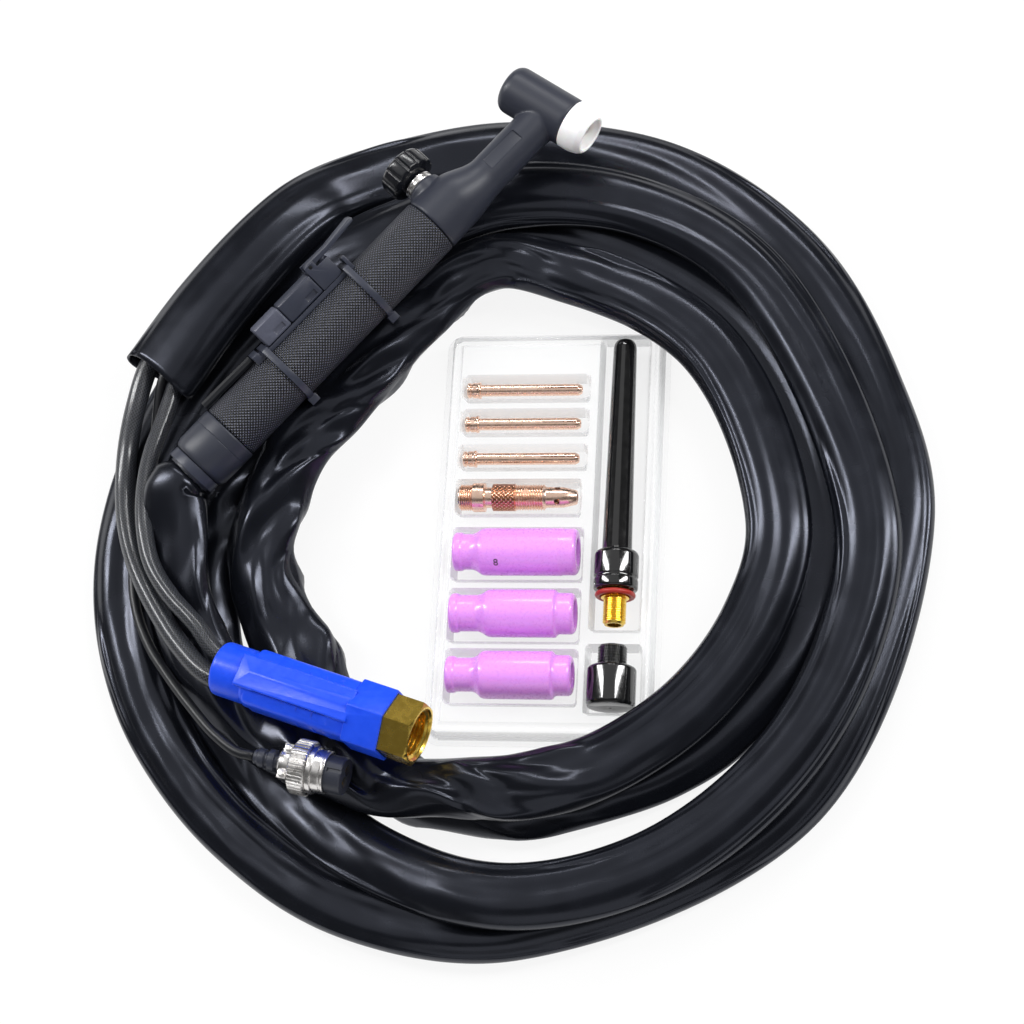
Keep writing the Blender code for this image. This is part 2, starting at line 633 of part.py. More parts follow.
def make_valve(torch):
    """Brass block in the body, bright collar, spindle and fluted knob."""
    valve_x = GRIP_LENGTH + VALVE_FROM_GRIP
    half = VALVE_BLOCK_LENGTH / 2
    block_piece = turned("valve_block", [(valve_x - half, VALVE_BLOCK_R), (valve_x + half, VALVE_BLOCK_R)],
                         torch, BRASS)
    valve = frame_at("valve_frame", (valve_x, 0, 0), 90.0, parent=torch)
    boss = turned("valve_boss_form", [(0.0, VALVE_BOSS_R), (VALVE_FACE, VALVE_BOSS_R)], valve, None,
                  segments=20)
    boolean(block_piece, boss, "UNION")
    well = turned("valve_well_cut", [(STEM_INNER_END - RUN, STEM_R + RUN), (0.030, STEM_R + RUN)],
                  valve, None, segments=16)
    boolean(block_piece, well)
    collar_back = VALVE_FACE + GAP
    collar_front = collar_back + COLLAR_THICKNESS
    turned("valve_collar", [(collar_back, STEM_R + RUN), (collar_back, COLLAR_R),
                            (collar_front - 0.0008, COLLAR_R), (collar_front, COLLAR_R - 0.0010),
                            (collar_front, STEM_R + RUN)], valve, NICKEL, hollow=True, segments=28)
    knob_back = VALVE_FACE + COLLAR_THICKNESS + KNOB_STANDOFF - 0.0035
    stem_end = knob_back - GAP
    turned("valve_stem", [(STEM_INNER_END, 0.0008), (STEM_INNER_END + 0.0016, STEM_R),
                          (stem_end, STEM_R)], valve, NICKEL, segments=16)
    outline = knob_outline()
    mesh = prism_mesh("valve_knob", outline, knob_back, knob_back + KNOB_THICKNESS)
    knob = add_object("valve_knob", mesh, valve, finish=KNOB_BLACK)
    rim = turned("knob_rim_form", [(knob_back - 0.001, 0.0068), (knob_back, 0.0068),
                                   (knob_back + 0.0016, KNOB_R + 0.001),
                                   (knob_back + KNOB_THICKNESS - 0.0012, KNOB_R + 0.001),
                                   (knob_back + KNOB_THICKNESS, KNOB_R - 0.0009),
                                   (knob_back + KNOB_THICKNESS + 0.001, KNOB_R - 0.0009)],
                 valve, None, segments=48)
    boolean(knob, rim, "INTERSECT")
    return valve


# ================================================================ handle
def make_handle(torch):
    """Grip tube, rear boot, its tie and the hose joint inside."""
    bore_r = GRIP_R - GRIP_WALL
    turned("handle_grip", [(-GRIP_SPIGOT_LENGTH, bore_r - 0.0015), (-GRIP_SPIGOT_LENGTH, GRIP_SPIGOT_R),
                           (0.0, GRIP_SPIGOT_R), (0.0, GRIP_R - 0.0005), (0.0005, GRIP_R),
                           (GRIP_LENGTH - 0.0005, GRIP_R), (GRIP_LENGTH, GRIP_R - 0.0005),
                           (GRIP_LENGTH, bore_r), (0.004, bore_r), (0.0, bore_r - 0.0015)],
           torch, GRIP_PLASTIC, hollow=True, segments=32)
    boot_front = -GAP
    seat_end = -GRIP_SPIGOT_LENGTH - GAP
    rear = -BOOT_LENGTH
    tail_end = rear - BOOT_TAIL_LENGTH
    turned("rear_boot", [(boot_front, GRIP_SPIGOT_R + GAP), (boot_front, BOOT_R - 0.0004),
                         (boot_front - 0.0004, BOOT_R), (rear + 0.0030, BOOT_R - 0.0003),
                         (rear, BOOT_R - 0.0016), (rear, BOOT_TAIL_R), (tail_end, BOOT_TAIL_R),
                         (tail_end, BOOT_BORE_R), (seat_end, BOOT_BORE_R), (seat_end, GRIP_SPIGOT_R + GAP)],
           torch, RUBBER, hollow=True, segments=36)
    tie_front = rear - GAP
    tie_inner = BOOT_TAIL_R + GAP
    turned("boot_tie", [(tie_front - BOOT_TIE_WIDTH, tie_inner),
                        (tie_front - BOOT_TIE_WIDTH, tie_inner + BOOT_TIE_THICKNESS),
                        (tie_front, tie_inner + BOOT_TIE_THICKNESS), (tie_front, tie_inner)],
           torch, SWITCH_BLACK, hollow=True, segments=28)

    nut_front = GRIP_LENGTH + VALVE_FROM_GRIP - VALVE_BLOCK_LENGTH / 2 - GAP
    nut_rear = nut_front - JOINT_NUT_LENGTH
    nut = prism_mesh("hose_joint_nut", hexagon(JOINT_NUT_AF), nut_rear, nut_front)
    add_object("hose_joint_nut", nut, torch, finish=BRASS)
    crimp_front = nut_rear - GAP
    crimp_rear = crimp_front - CRIMP_LENGTH
    turned("hose_crimp", [(crimp_rear, TAIL_HOSE_R + GAP), (crimp_rear, CRIMP_R - 0.0005),
                          (crimp_rear + 0.0010, CRIMP_R), (crimp_front, CRIMP_R),
                          (crimp_front, TAIL_HOSE_R + GAP)], torch, COPPER, hollow=True)
    tail_front = crimp_front
    turned("handle_hose", [(tail_end, TAIL_HOSE_R), (tail_front, TAIL_HOSE_R)], torch, HOSE_PVC, segments=16)


# ================================================================ finger switch
def make_switch(torch):
    """Two-part switch box on a saddle base with a lever, a button and two ties."""
    switch = frame_at("switch_frame", (SWITCH_FROM_REAR, 0, 0), 0.0, 0.0, SWITCH_TURN - 90.0, parent=torch)
    half = SWITCH_WIDTH / 2
    rear = -(SWITCH_HOUSING_LENGTH + SWITCH_COVER_LENGTH) / 2
    seam = rear + SWITCH_COVER_LENGTH
    front = seam + SWITCH_HOUSING_LENGTH
    top = SWITCH_BASE_TOP + SWITCH_HEIGHT
    bracket_front = front + BRACKET_LENGTH
    floor = GRIP_R - 0.0016

    base = block("switch_base", (rear - BASE_TAIL_LENGTH, -half, floor),
                 (bracket_front + BASE_NOSE_LENGTH, half, SWITCH_BASE_TOP - GAP), switch, SWITCH_BLACK)
    lip_rear = rear - BASE_TAIL_LENGTH
    lip = block("base_lip_form", (lip_rear, -half, floor), (lip_rear + 0.0035, half, SWITCH_BASE_TOP + 0.0018),
                switch)
    boolean(base, lip, "UNION")
    nose_front = bracket_front + BASE_NOSE_LENGTH
    nose = block("base_nose_form", (nose_front - 0.0018, -half, floor),
                 (nose_front, half, SWITCH_BASE_TOP + 0.0045), switch)
    boolean(base, nose, "UNION")
    saddle = turned("base_saddle_cut", [(-0.08, GRIP_R + GAP), (0.08, GRIP_R + GAP)], switch, None, segments=32)
    boolean(base, saddle)

    cover = block("switch_cover", (rear, -half, SWITCH_BASE_TOP), (seam - GAP, half, top), switch,
                  SWITCH_GREY, bevel=0.0006)
    housing = block("switch_housing", (seam, -half, SWITCH_BASE_TOP), (front - GAP, half, top), switch,
                    SWITCH_BLACK, bevel=0.0006)
    window_z = SWITCH_BASE_TOP + 0.0012
    for index, (owner, start) in enumerate(((cover, rear + 0.0065), (housing, seam + 0.0115))):
        window = block(f"window_cut_{index}", (start, -half - 0.002, window_z),
                       (start + WINDOW_LENGTH, -half + WINDOW_DEPTH, window_z + WINDOW_HEIGHT), switch)
        boolean(owner, window)
        other = block(f"window_cut_back_{index}", (start, half - WINDOW_DEPTH, window_z),
                      (start + WINDOW_LENGTH, half + 0.002, window_z + WINDOW_HEIGHT), switch)
        boolean(owner, other)

    bracket = block("lever_bracket", (front, -half, SWITCH_BASE_TOP), (bracket_front, half, top), switch,
                    SWITCH_BLACK)
    pivot_x = front + PIVOT_SETBACK
    pivot_z = top + PIVOT_HEIGHT
    for side in (-1, 1):
        outer, inner = side * half, side * (half - EAR_THICKNESS)
        ear = block(f"ear_form_{side}", (front, min(outer, inner), top - 0.003),
                    (pivot_x + 0.0026, max(outer, inner), top + EAR_HEIGHT), switch)
        boolean(bracket, ear, "UNION")
    pin_hole = turned("pivot_hole_cut", [(-0.02, PIVOT_R + RUN), (0.02, PIVOT_R + RUN)], switch, None,
                      segments=16, at=(pivot_x, 0, pivot_z), rotation=(0, 0, 90))
    boolean(bracket, pin_hole)
    button_x = pivot_x + BUTTON_FROM_PIVOT
    well = turned("button_well_cut", [(SWITCH_BASE_TOP + 0.004, BUTTON_R + RUN), (0.05, BUTTON_R + RUN)],
                  switch, None, segments=16, at=(button_x, 0, 0), rotation=(0, -90, 0))
    boolean(bracket, well)

    turned("lever_pin", [(-half, PIVOT_R), (half, PIVOT_R)], switch, NICKEL, segments=14,
           at=(pivot_x, 0, pivot_z), rotation=(0, 0, 90))
    lever_low = pivot_z - 0.0005
    lever_half = half - EAR_THICKNESS - RUN
    lift = math.tan(math.radians(3.0))
    outline = [(-0.0019, -0.0003), (0.0, -0.0009), (0.0019, -0.0003), (0.0040, 0.0), (BRACKET_LENGTH, 0.0),
               (LEVER_LENGTH - 0.004, LEVER_LENGTH * lift - 0.0004), (LEVER_LENGTH, LEVER_LENGTH * lift),
               (LEVER_LENGTH + 0.0005, LEVER_LENGTH * lift + LEVER_THICKNESS * 0.6),
               (LEVER_LENGTH - 0.001, LEVER_LENGTH * lift + LEVER_THICKNESS),
               (BRACKET_LENGTH, LEVER_THICKNESS), (0.0, LEVER_THICKNESS + 0.0002),
               (-0.0019, LEVER_THICKNESS * 0.6)]
    outline = [(along, height + lever_low - pivot_z) for along, height in outline]
    lever_mesh = prism_mesh("switch_lever", outline, -lever_half, lever_half, axis="Y")
    lever = add_object("switch_lever", lever_mesh, switch, (pivot_x, 0, pivot_z), finish=SWITCH_BLACK)
    lever_hole = turned("lever_hole_cut", [(-0.02, PIVOT_R + RUN), (0.02, PIVOT_R + RUN)], switch, None,
                        segments=16, at=(pivot_x, 0, pivot_z), rotation=(0, 0, 90))
    boolean(lever, lever_hole)
    press = BUTTON_FROM_PIVOT * math.tan(math.radians(LEVER_TRAVEL))
    button_top = lever_low - GAP - 0.0001
    turned("switch_button", [(SWITCH_BASE_TOP + 0.004 + press + RUN, BUTTON_R),
                             (button_top - 0.0005, BUTTON_R), (button_top, BUTTON_R - 0.0006)],
           switch, SWITCH_GREY, segments=16, at=(button_x, 0, 0), rotation=(0, -90, 0))
    make_tie(switch, "tie_rear", rear - TIE_WIDTH - 0.0006)
    make_tie(switch, "tie_front", bracket_front + 0.0006)
    make_switch_lead(switch, lip_rear)


def tie_loop(radius, side, shelf, steps=18):
    """Outline of a tie: over the base's shelf, then tangent to the grip and round it."""
    corner_angle = math.atan2(shelf, side)
    arc_start = corner_angle - math.acos(radius / math.hypot(side, shelf))
    sweep = math.pi + 2 * arc_start
    points = [(side, shelf)]
    for step in range(steps + 1):
        angle = arc_start - sweep * step / steps
        points.append((radius * math.cos(angle), radius * math.sin(angle)))
    points.append((-side, shelf))
    return points


def make_tie(switch, name, start):
    """A cable tie round the grip and over the switch base, with its locking head."""
    side = SWITCH_WIDTH / 2 + GAP
    inner_r = GRIP_R + GAP
    inner = tie_loop(inner_r, side, SWITCH_BASE_TOP)
    outer = tie_loop(inner_r + TIE_THICKNESS, side + TIE_THICKNESS, SWITCH_BASE_TOP + TIE_THICKNESS)
    bm = bmesh.new()
    rows = []
    for x, outline in ((start, inner), (start, outer), (start + TIE_WIDTH, outer), (start + TIE_WIDTH, inner)):
        rows.append([bm.verts.new((x, a, b)) for a, b in outline])
    count = len(inner)
    for first, second in zip(rows, rows[1:] + rows[:1]):
        for step in range(count):
            after = (step + 1) % count
            bm.faces.new((first[step], first[after], second[after], second[step]))
    tie = add_object(name, finish_mesh(bm, name, 40.0), switch, finish=GRIP_PLASTIC)
    half = TIE_HEAD / 2
    head = block(f"{name}_head_form", (-half, inner_r + TIE_THICKNESS * 0.45, -half),
                 (half, inner_r + TIE_THICKNESS * 0.45 + TIE_HEAD * 0.8, half), switch)
    head.location = (start + TIE_WIDTH / 2, 0, 0)
    head.rotation_euler = (math.radians(TIE_HEAD_TURN), 0, 0)
    boolean(tie, head, "UNION")


def make_switch_lead(switch, lip_rear):
    """The two-core lead from the switch along the grip to the boot."""
    radius = GRIP_R + SWITCH_LEAD_D / 2 + 0.0005
    points = []
    reach = SWITCH_FROM_REAR + lip_rear - 2 * GAP
    for share, turn_angle in ((0.0, 0.0), (0.25, 2.0), (0.5, 6.0), (0.75, 10.0), (1.0, 12.0)):
        angle = math.radians(turn_angle)
        local = Vector((reach * (1 - share) - SWITCH_FROM_REAR + GAP * share,
                        radius * math.sin(angle), radius * math.cos(angle)))
        points.append(switch.matrix_world @ local)
    return cord("switch_lead", points, SWITCH_LEAD_D, RUBBER)


# ================================================================ lead
def coil_points():
    """The coil's stations as points, with their tilt."""
    points = []
    for turn in (FIRST_TURN, SECOND_TURN, THIRD_TURN, FOURTH_TURN):
        for compass, radius, height, tilt in turn:
            angle = math.radians(compass)
            points.append((COIL_CENTRE[0] + radius * math.cos(angle),
                           COIL_CENTRE[1] + radius * math.sin(angle), height,
                           SHEATH_WIDTH, SHEATH_THICKNESS, math.radians(tilt)))
    return points


def sheath_rings(torch):
    """Places and sections of the sheath from the torch's boot to the start of its mouth."""
    tail = -BOOT_LENGTH - BOOT_TAIL_LENGTH - GAP
    start = torch_point(torch, tail)
    after = torch_point(torch, tail - 0.007)
    throat = 2 * BOOT_TAIL_R
    route = [(*start, throat, throat, 0.0), (*after, throat * 1.1, throat * 0.9, 0.0)]
    return smooth_route(route + coil_points(), SHEATH_STEP)


def section_ring(bm, place, ahead, width, thickness, tilt, sides):
    """One flattened ring square to the route."""
    along = ahead.normalized()
    across = Vector((0, 0, 1)).cross(along).normalized()
    upright = along.cross(across)
    across, upright = (across * math.cos(tilt) + upright * math.sin(tilt),
                       upright * math.cos(tilt) - across * math.sin(tilt))
    ring = []
    for step in range(sides):
        angle = math.tau * step / sides
        ring.append(bm.verts.new(place + across * (width / 2 * math.cos(angle))
                                 + upright * (thickness / 2 * math.sin(angle))))
    return ring


def join_rings(bm, rings):
    """Skin a row of rings with faces."""
    sides = len(rings[0])
    for first, second in zip(rings, rings[1:]):
        for step in range(sides):
            after = (step + 1) % sides
            bm.faces.new((first[step], first[after], second[after], second[step]))


def make_sheath(torch, sides=12):
    """The flattened cover of the lead, and its open mouth as a thin shell."""
    rows = sheath_rings(torch)
    split = len(rows) - 2
    for share, row in ((0.5, rows[split - 1]), (1.0, rows[split])):
        row[3] += (MOUTH_START_WIDTH - SHEATH_WIDTH) * share
        row[4] += (MOUTH_START_THICKNESS - SHEATH_THICKNESS) * share
    places = [Vector(row[:3]) for row in rows]
    end, tip = places[split], places[split + 1]
    mouth_ahead = (tip - end).normalized()
    bm = bmesh.new()
    rings = []
    for index in range(split + 1):
        ahead = places[min(split, index + 1)] - places[max(0, index - 1)]
        if index == 0:
            ahead = torch_point(torch, -1.0) - torch_point(torch, 0.0)
        if index == split:
            ahead = mouth_ahead
        rings.append(section_ring(bm, places[index], ahead, *rows[index][3:6], sides))
    join_rings(bm, rings)
    bm.faces.new(rings[0])
    bm.faces.new(rings[-1])
    add_object("cable_sheath", finish_mesh(bm, "cable_sheath", 60.0), None, finish=SHEATH_PVC)

    bm = bmesh.new()
    outer_rings, inner_rings = [], []
    for share in (0.0, 0.45, 1.0):
        place = end + mouth_ahead * GAP + (tip - end) * share
        width = MOUTH_START_WIDTH + (MOUTH_WIDTH - MOUTH_START_WIDTH) * share
        thickness = MOUTH_START_THICKNESS + (MOUTH_THICKNESS - MOUTH_START_THICKNESS) * share
        outer_rings.append(section_ring(bm, place, mouth_ahead, width, thickness, 0.0, 2 * sides))
        inner_rings.append(section_ring(bm, place, mouth_ahead, width - 2 * SHEATH_WALL,
                                        thickness - 2 * SHEATH_WALL, 0.0, 2 * sides))
    join_rings(bm, outer_rings)
    join_rings(bm, inner_rings)
    join_rings(bm, [outer_rings[0], inner_rings[0]])
    join_rings(bm, [outer_rings[-1], inner_rings[-1]])
    add_object("sheath_mouth", finish_mesh(bm, "sheath_mouth", 60.0), None, finish=SHEATH_PVC)
    return end, tip


def make_hoses(mouth_end, mouth_tip, connector, plug):
    """The power hose, the gas hose and the control cable, from the mouth to their fittings."""
    ahead = mouth_tip - mouth_end
    across = Vector((0, 0, 1)).cross(ahead).normalized()

    def start(side):
        return [tuple(mouth_end + ahead * share + across * side) for share in (0.35, 0.65, 0.95)]

    ferrule_rear = hose_end_x() - 2 * GAP
    power_y, gas_y = hose_sides()
    power_in = [tuple(torch_point(connector, x, power_y)) for x in (-0.004, ferrule_rear * 0.5, ferrule_rear)]
    gas_in = [tuple(torch_point(connector, x, gas_y)) for x in (-0.004, ferrule_rear * 0.5, ferrule_rear)]
    cord("power_hose", start(-0.0078) + list(POWER_HOSE_ROUTE) + power_in, POWER_HOSE_D, HOSE_PVC, sides=3)
    cord("gas_hose", start(0.0086) + list(GAS_HOSE_ROUTE) + gas_in, GAS_HOSE_D, HOSE_PVC, sides=3)
    plug_in = [tuple(torch_point(plug, x)) for x in (-0.008, -0.003, -2 * GAP)]
    cord("control_cable", start(0.0010) + list(CONTROL_CABLE_ROUTE) + plug_in, CONTROL_CABLE_D, RUBBER)


def hose_sides():
    """Sideways places of the two hoses inside the connector's grip."""
    reach = CG_BORE_R - 0.0006
    return POWER_HOSE_D / 2 - reach, reach - GAS_HOSE_D / 2


def hose_end_x():
    """Where the hoses end inside the connector's grip."""
    return CG_LENGTH - NUT_SEATED - NUT_FLOOR - 0.010 - MANIFOLD_LENGTH - FERRULE_LENGTH


# ================================================================ gas and power connector
def make_connector():
    """Blue grip, brass nut, nipple and hose manifold."""
    connector = frame_at("connector_frame", CONNECTOR_AT, CONNECTOR_HEADING, CONNECTOR_LIFT)
    hex_start = CG_LENGTH - CG_HEX_LENGTH
    profile = [(0.0, CG_R - 0.0014), (0.0006, CG_R - 0.0004), (0.0016, CG_R), (CG_RIB_START - 0.0015, CG_R)]
    for rib in range(CG_RIBS):
        rib_x = CG_RIB_START + rib * CG_RIB_PITCH
        profile += [(rib_x, CG_R - 0.0003), (rib_x + 0.0012, CG_RIB_R),
                    (rib_x + CG_RIB_PITCH - 0.0016, CG_RIB_R + 0.0002 * rib)]
    profile += [(hex_start, CG_R + 0.0006), (hex_start + 0.002, CG_R + 0.0006)]
    grip = turned("connector_grip", profile, connector, CONNECTOR_BLUE, segments=32)
    hexagon_mesh = prism_mesh("grip_hex_form", hexagon(CG_HEX_AF), hex_start, CG_LENGTH)
    hex_form = add_object("grip_hex_form", hexagon_mesh, connector)
    boolean(grip, hex_form, "UNION")
    for side in (-1, 1):
        low, high = sorted((side * CG_R * 0.5, side * (CG_RIB_R + 0.0012)))
        panel = block(f"grip_panel_form_{side}", (CG_PANEL_START, -CG_PANEL_WIDTH / 2, low),
                      (CG_PANEL_START + CG_PANEL_LENGTH, CG_PANEL_WIDTH / 2, high), connector, bevel=0.0008)
        boolean(grip, panel, "UNION")
    bore = turned("grip_bore_cut", [(-0.01, CG_BORE_R), (CG_LENGTH - NUT_SEATED, CG_BORE_R)], connector,
                  None, segments=26, phase=0.37)
    boolean(grip, bore)
    socket_mesh = prism_mesh("grip_socket_cut", hexagon(NUT_AF + 2 * GAP), CG_LENGTH - NUT_SEATED - GAP,
                             CG_LENGTH + 0.01)
    boolean(grip, add_object("grip_socket_cut", socket_mesh, connector))

    nut_rear = CG_LENGTH - NUT_SEATED
    nut_front = nut_rear + NUT_LENGTH
    corner_r = NUT_AF / math.sqrt(3.0)
    nut_mesh = prism_mesh("connector_nut", hexagon(NUT_AF), nut_rear, nut_front)
    nut = add_object("connector_nut", nut_mesh, connector, finish=BRASS)
    chamfer = turned("nut_chamfer_form", [(nut_rear - 0.001, corner_r + 0.0005),
                                          (nut_front - NUT_CHAMFER, corner_r + 0.0005),
                                          (nut_front, corner_r - 2 * NUT_CHAMFER),
                                          (nut_front + 0.001, corner_r - 2 * NUT_CHAMFER)],
                     connector, None, segments=36)
    boolean(nut, chamfer, "INTERSECT")
    nut_bore = turned("nut_bore_cut", [(nut_rear - 0.01, NIPPLE_NECK_R + RUN),
                                       (nut_rear + NUT_FLOOR, NIPPLE_NECK_R + RUN),
                                       (nut_rear + NUT_FLOOR, NUT_BORE_R), (nut_front - 0.0008, NUT_BORE_R),
                                       (nut_front + 0.0002, NUT_BORE_R + 0.0010)],
                      connector, None, segments=32)
    boolean(nut, nut_bore)

    collar_start = nut_rear + NUT_FLOOR + RUN
    manifold_front = nut_rear - 0.0065
    nipple = [(manifold_front + GAP, NIPPLE_NECK_R), (collar_start, NIPPLE_NECK_R),
              (collar_start, NIPPLE_COLLAR_R), (collar_start + NIPPLE_COLLAR_LENGTH, NIPPLE_COLLAR_R),
              (collar_start + NIPPLE_COLLAR_LENGTH + NIPPLE_NOSE_LENGTH * 0.6, NIPPLE_NECK_R + 0.001),
              (collar_start + NIPPLE_COLLAR_LENGTH + NIPPLE_NOSE_LENGTH, NIPPLE_NECK_R - 0.002)]
    bore_r = 0.0022
    nipple = [(nipple[0][0], bore_r)] + nipple + [(nipple[-1][0], bore_r)]
    turned("hose_nipple", nipple, connector, BRASS, hollow=True)
    manifold_rear = hose_end_x() + FERRULE_LENGTH
    turned("hose_manifold", [(manifold_rear, MANIFOLD_R - 0.0006), (manifold_rear + 0.0008, MANIFOLD_R),
                             (manifold_front, MANIFOLD_R)], connector, BRASS, segments=28)
    for name, side, diameter in (("power_ferrule", 0, POWER_HOSE_D), ("gas_ferrule", 1, GAS_HOSE_D)):
        radius = diameter / 2
        turned(name, [(hose_end_x(), radius - 0.0004), (hose_end_x() + 0.0006, radius),
                      (manifold_rear - GAP, radius)], connector, COPPER, segments=20,
               at=(0, hose_sides()[side], 0))
    return connector


# ================================================================ two-pin control plug
def make_plug():
    """Strain relief, clamp, shell, knurled ring, insert and contacts of the control plug."""
    plug = frame_at("plug_frame", PLUG_AT, PLUG_HEADING, PLUG_LIFT)
    thin = CONTROL_CABLE_D / 2 + 0.0009
    relief = [(0.0, thin)]
    for ring in range(2):
        ring_x = RELIEF_LENGTH * (0.12 + 0.42 * ring)
        grow = thin + (RELIEF_R - thin) * (0.6 + 0.4 * ring)
        relief += [(ring_x, thin), (ring_x + 0.0007, grow), (ring_x + 0.0032, grow), (ring_x + 0.0038, thin)]
    relief.append((RELIEF_LENGTH, thin))
    turned("plug_strain_relief", relief, plug, RUBBER, segments=20)

    clamp_start = RELIEF_LENGTH + GAP
    clamp_end = clamp_start + PLUG_CLAMP_LENGTH
    clamp = turned("plug_clamp", [(clamp_start, PLUG_CLAMP_R - 0.0012), (clamp_start + 0.0012, PLUG_CLAMP_R),
                                  (clamp_end, PLUG_CLAMP_R)], plug, NICKEL, segments=24)
    screw_x = (clamp_start + clamp_end) / 2 + 0.0004
    screw_y = PLUG_CLAMP_R - 0.0008
    lug_half = 0.0019
    lug_top = PLUG_CLAMP_R * 0.82
    for side in (-1, 1):
        lug_y = side * screw_y
        lug = block(f"clamp_lug_form_{side}", (screw_x - lug_half, lug_y - lug_half, -lug_top),
                    (screw_x + lug_half, lug_y + lug_half, lug_top), plug)
        boolean(clamp, lug, "UNION")
    screw_mesh = turned_mesh("plug_clamp_screws", [(0.0, 0.0), (0.0, 0.0015), (0.0009, 0.0015), (0.0012, 0.0010),
                                                   (0.0012, 0.0)], 14)
    for side, name in ((-1, "plug_clamp_screw_left"), (1, "plug_clamp_screw_right")):
        add_object(name, screw_mesh.copy(), plug, (screw_x, side * screw_y, lug_top + GAP),
                   (0, -90, 0), NICKEL)

    shell_start = clamp_end + GAP
    flange_start = shell_start + PLUG_RING_LENGTH + 2 * RUN
    shell_end = shell_start + PLUG_SHELL_LENGTH
    insert_bore = PLUG_INSERT_R + GAP
    turned("plug_shell", [(shell_start, PLUG_CLAMP_R), (shell_start + 0.0004, PLUG_SHELL_R),
                          (flange_start, PLUG_SHELL_R), (flange_start, PLUG_FLANGE_R),
                          (flange_start + PLUG_FLANGE_LENGTH, PLUG_FLANGE_R),
                          (flange_start + PLUG_FLANGE_LENGTH, PLUG_SHELL_R), (shell_end - 0.0004, PLUG_SHELL_R),
                          (shell_end, PLUG_SHELL_R - 0.0004), (shell_end, insert_bore),
                          (shell_start + 0.003, insert_bore)],
           plug, NICKEL, segments=32)
    ring_start = shell_start + RUN
    turned("plug_coupling_ring", [(ring_start, PLUG_SHELL_R + RUN), (ring_start, PLUG_RING_R - 0.0008),
                                  (ring_start + 0.0008, PLUG_RING_R),
                                  (ring_start + PLUG_RING_LENGTH - 0.0008, PLUG_RING_R),
                                  (ring_start + PLUG_RING_LENGTH, PLUG_RING_R - 0.0008),
                                  (ring_start + PLUG_RING_LENGTH, PLUG_SHELL_R + RUN)],
           plug, NICKEL, hollow=True, segments=36)
    insert_start = shell_start + 0.003 + GAP
    insert_end = shell_end + PLUG_INSERT_PROUD
    insert = turned("plug_insert", [(insert_start, PLUG_INSERT_R), (insert_end - 0.0004, PLUG_INSERT_R),
                                    (insert_end, PLUG_INSERT_R - 0.0004)], plug, RUBBER, segments=32)
    for side in (-1, 1):
        hole = turned(f"socket_cut_{side}", [(insert_end - PLUG_SOCKET_DEPTH, PLUG_PIN_R + 0.0009 + GAP),
                                             (insert_end + 0.002, PLUG_PIN_R + 0.0009 + GAP)], plug, None,
                      segments=16, at=(0, side * PLUG_PIN_SPACING / 2, 0))
        boolean(insert, hole)
        name = "plug_contact_left" if side < 0 else "plug_contact_right"
        contact_back = insert_end - PLUG_SOCKET_DEPTH + GAP
        turned(name, [(contact_back, PLUG_PIN_R), (contact_back, PLUG_PIN_R + 0.0009),
                      (insert_end - 0.0012, PLUG_PIN_R + 0.0009), (insert_end - 0.0012, PLUG_PIN_R)],
               plug, BRASS, hollow=True, segments=16, at=(0, side * PLUG_PIN_SPACING / 2, 0))
    return plug


# ================================================================ consumables
def pocket_floor():
    """Height of the upper face of a pocket's floor."""
    return TRAY_SHEET


def rest_height(radius):
    """Axis height of a round piece that lies in its pocket."""
    return pocket_floor() + radius + GAP


def make_collets(tray):
    """Three split collets: a straight tube with a collared head."""
    for index, row in enumerate(COLLET_ROWS):
        head_end = COLLET_HEAD_LENGTH
        piece = turned(f"collet_{index + 1}",
                       [(0.0, COLLET_BORE_R), (0.0, COLLET_HEAD_R - 0.0005), (0.0005, COLLET_HEAD_R - 0.0003),
                        (head_end - 0.0012, COLLET_HEAD_R - 0.0003), (head_end - 0.0010, COLLET_HEAD_R),
                        (head_end - 0.0002, COLLET_HEAD_R), (head_end, COLLET_R),
                        (COLLET_LENGTH - 0.0016, COLLET_R), (COLLET_LENGTH, COLLET_R - 0.0008),
                        (COLLET_LENGTH, COLLET_BORE_R)],
                       tray, COPPER, hollow=True, segments=18, at=(KIT_LEFT, row, rest_height(COLLET_HEAD_R)))
        slit = block(f"collet_slit_cut_{index + 1}", (COLLET_LENGTH - 0.016, -0.00025, -COLLET_HEAD_R),
                     (COLLET_LENGTH + 0.002, 0.00025, COLLET_HEAD_R), tray)
        slit.location = piece.location
        boolean(piece, slit)


def make_collet_body(tray):
    """The collet body: thread, flange, neck, knurl, thread and nose with its gas holes."""
    length = COLLET_BODY_LENGTH
    steps = [(0.0, 0.0052), (0.0006, 0.0057), (0.0060, 0.0057), (0.0062, 0.0063), (0.0112, 0.0063),
             (0.0116, 0.0045), (0.0144, 0.0045), (0.0148, 0.0059), (0.0246, 0.0059), (0.0249, 0.0056),
             (0.0375, 0.0056), (0.0382, 0.0045), (length - 0.0060, 0.0044), (length - 0.0006, 0.0032),
             (length, 0.0027)]
    rear_bore, nose_bore = COLLET_BODY_BORE_R + 0.0010, 0.0017
    profile = [(0.0, rear_bore)] + steps + [(length, nose_bore), (length - 0.0080, nose_bore),
                                            (length - 0.0100, rear_bore)]
    piece = turned("collet_body", profile, tray, COPPER, hollow=True, segments=24,
                   at=(KIT_LEFT, COLLET_BODY_ROW, rest_height(0.0063)))
    hole_x = length - 0.0085
    for index, turn_angle in enumerate((0, 90)):
        hole = turned(f"gas_hole_cut_{index}", [(-0.01, 0.00125), (0.01, 0.00125)], tray, None, segments=14)
        hole.matrix_local = (Matrix.Translation(piece.location + Vector((hole_x, 0, 0)))
                             @ Matrix.Rotation(math.radians(turn_angle + 45), 4, "X")
                             @ Matrix.Rotation(math.radians(90), 4, "Y"))
        boolean(piece, hole)


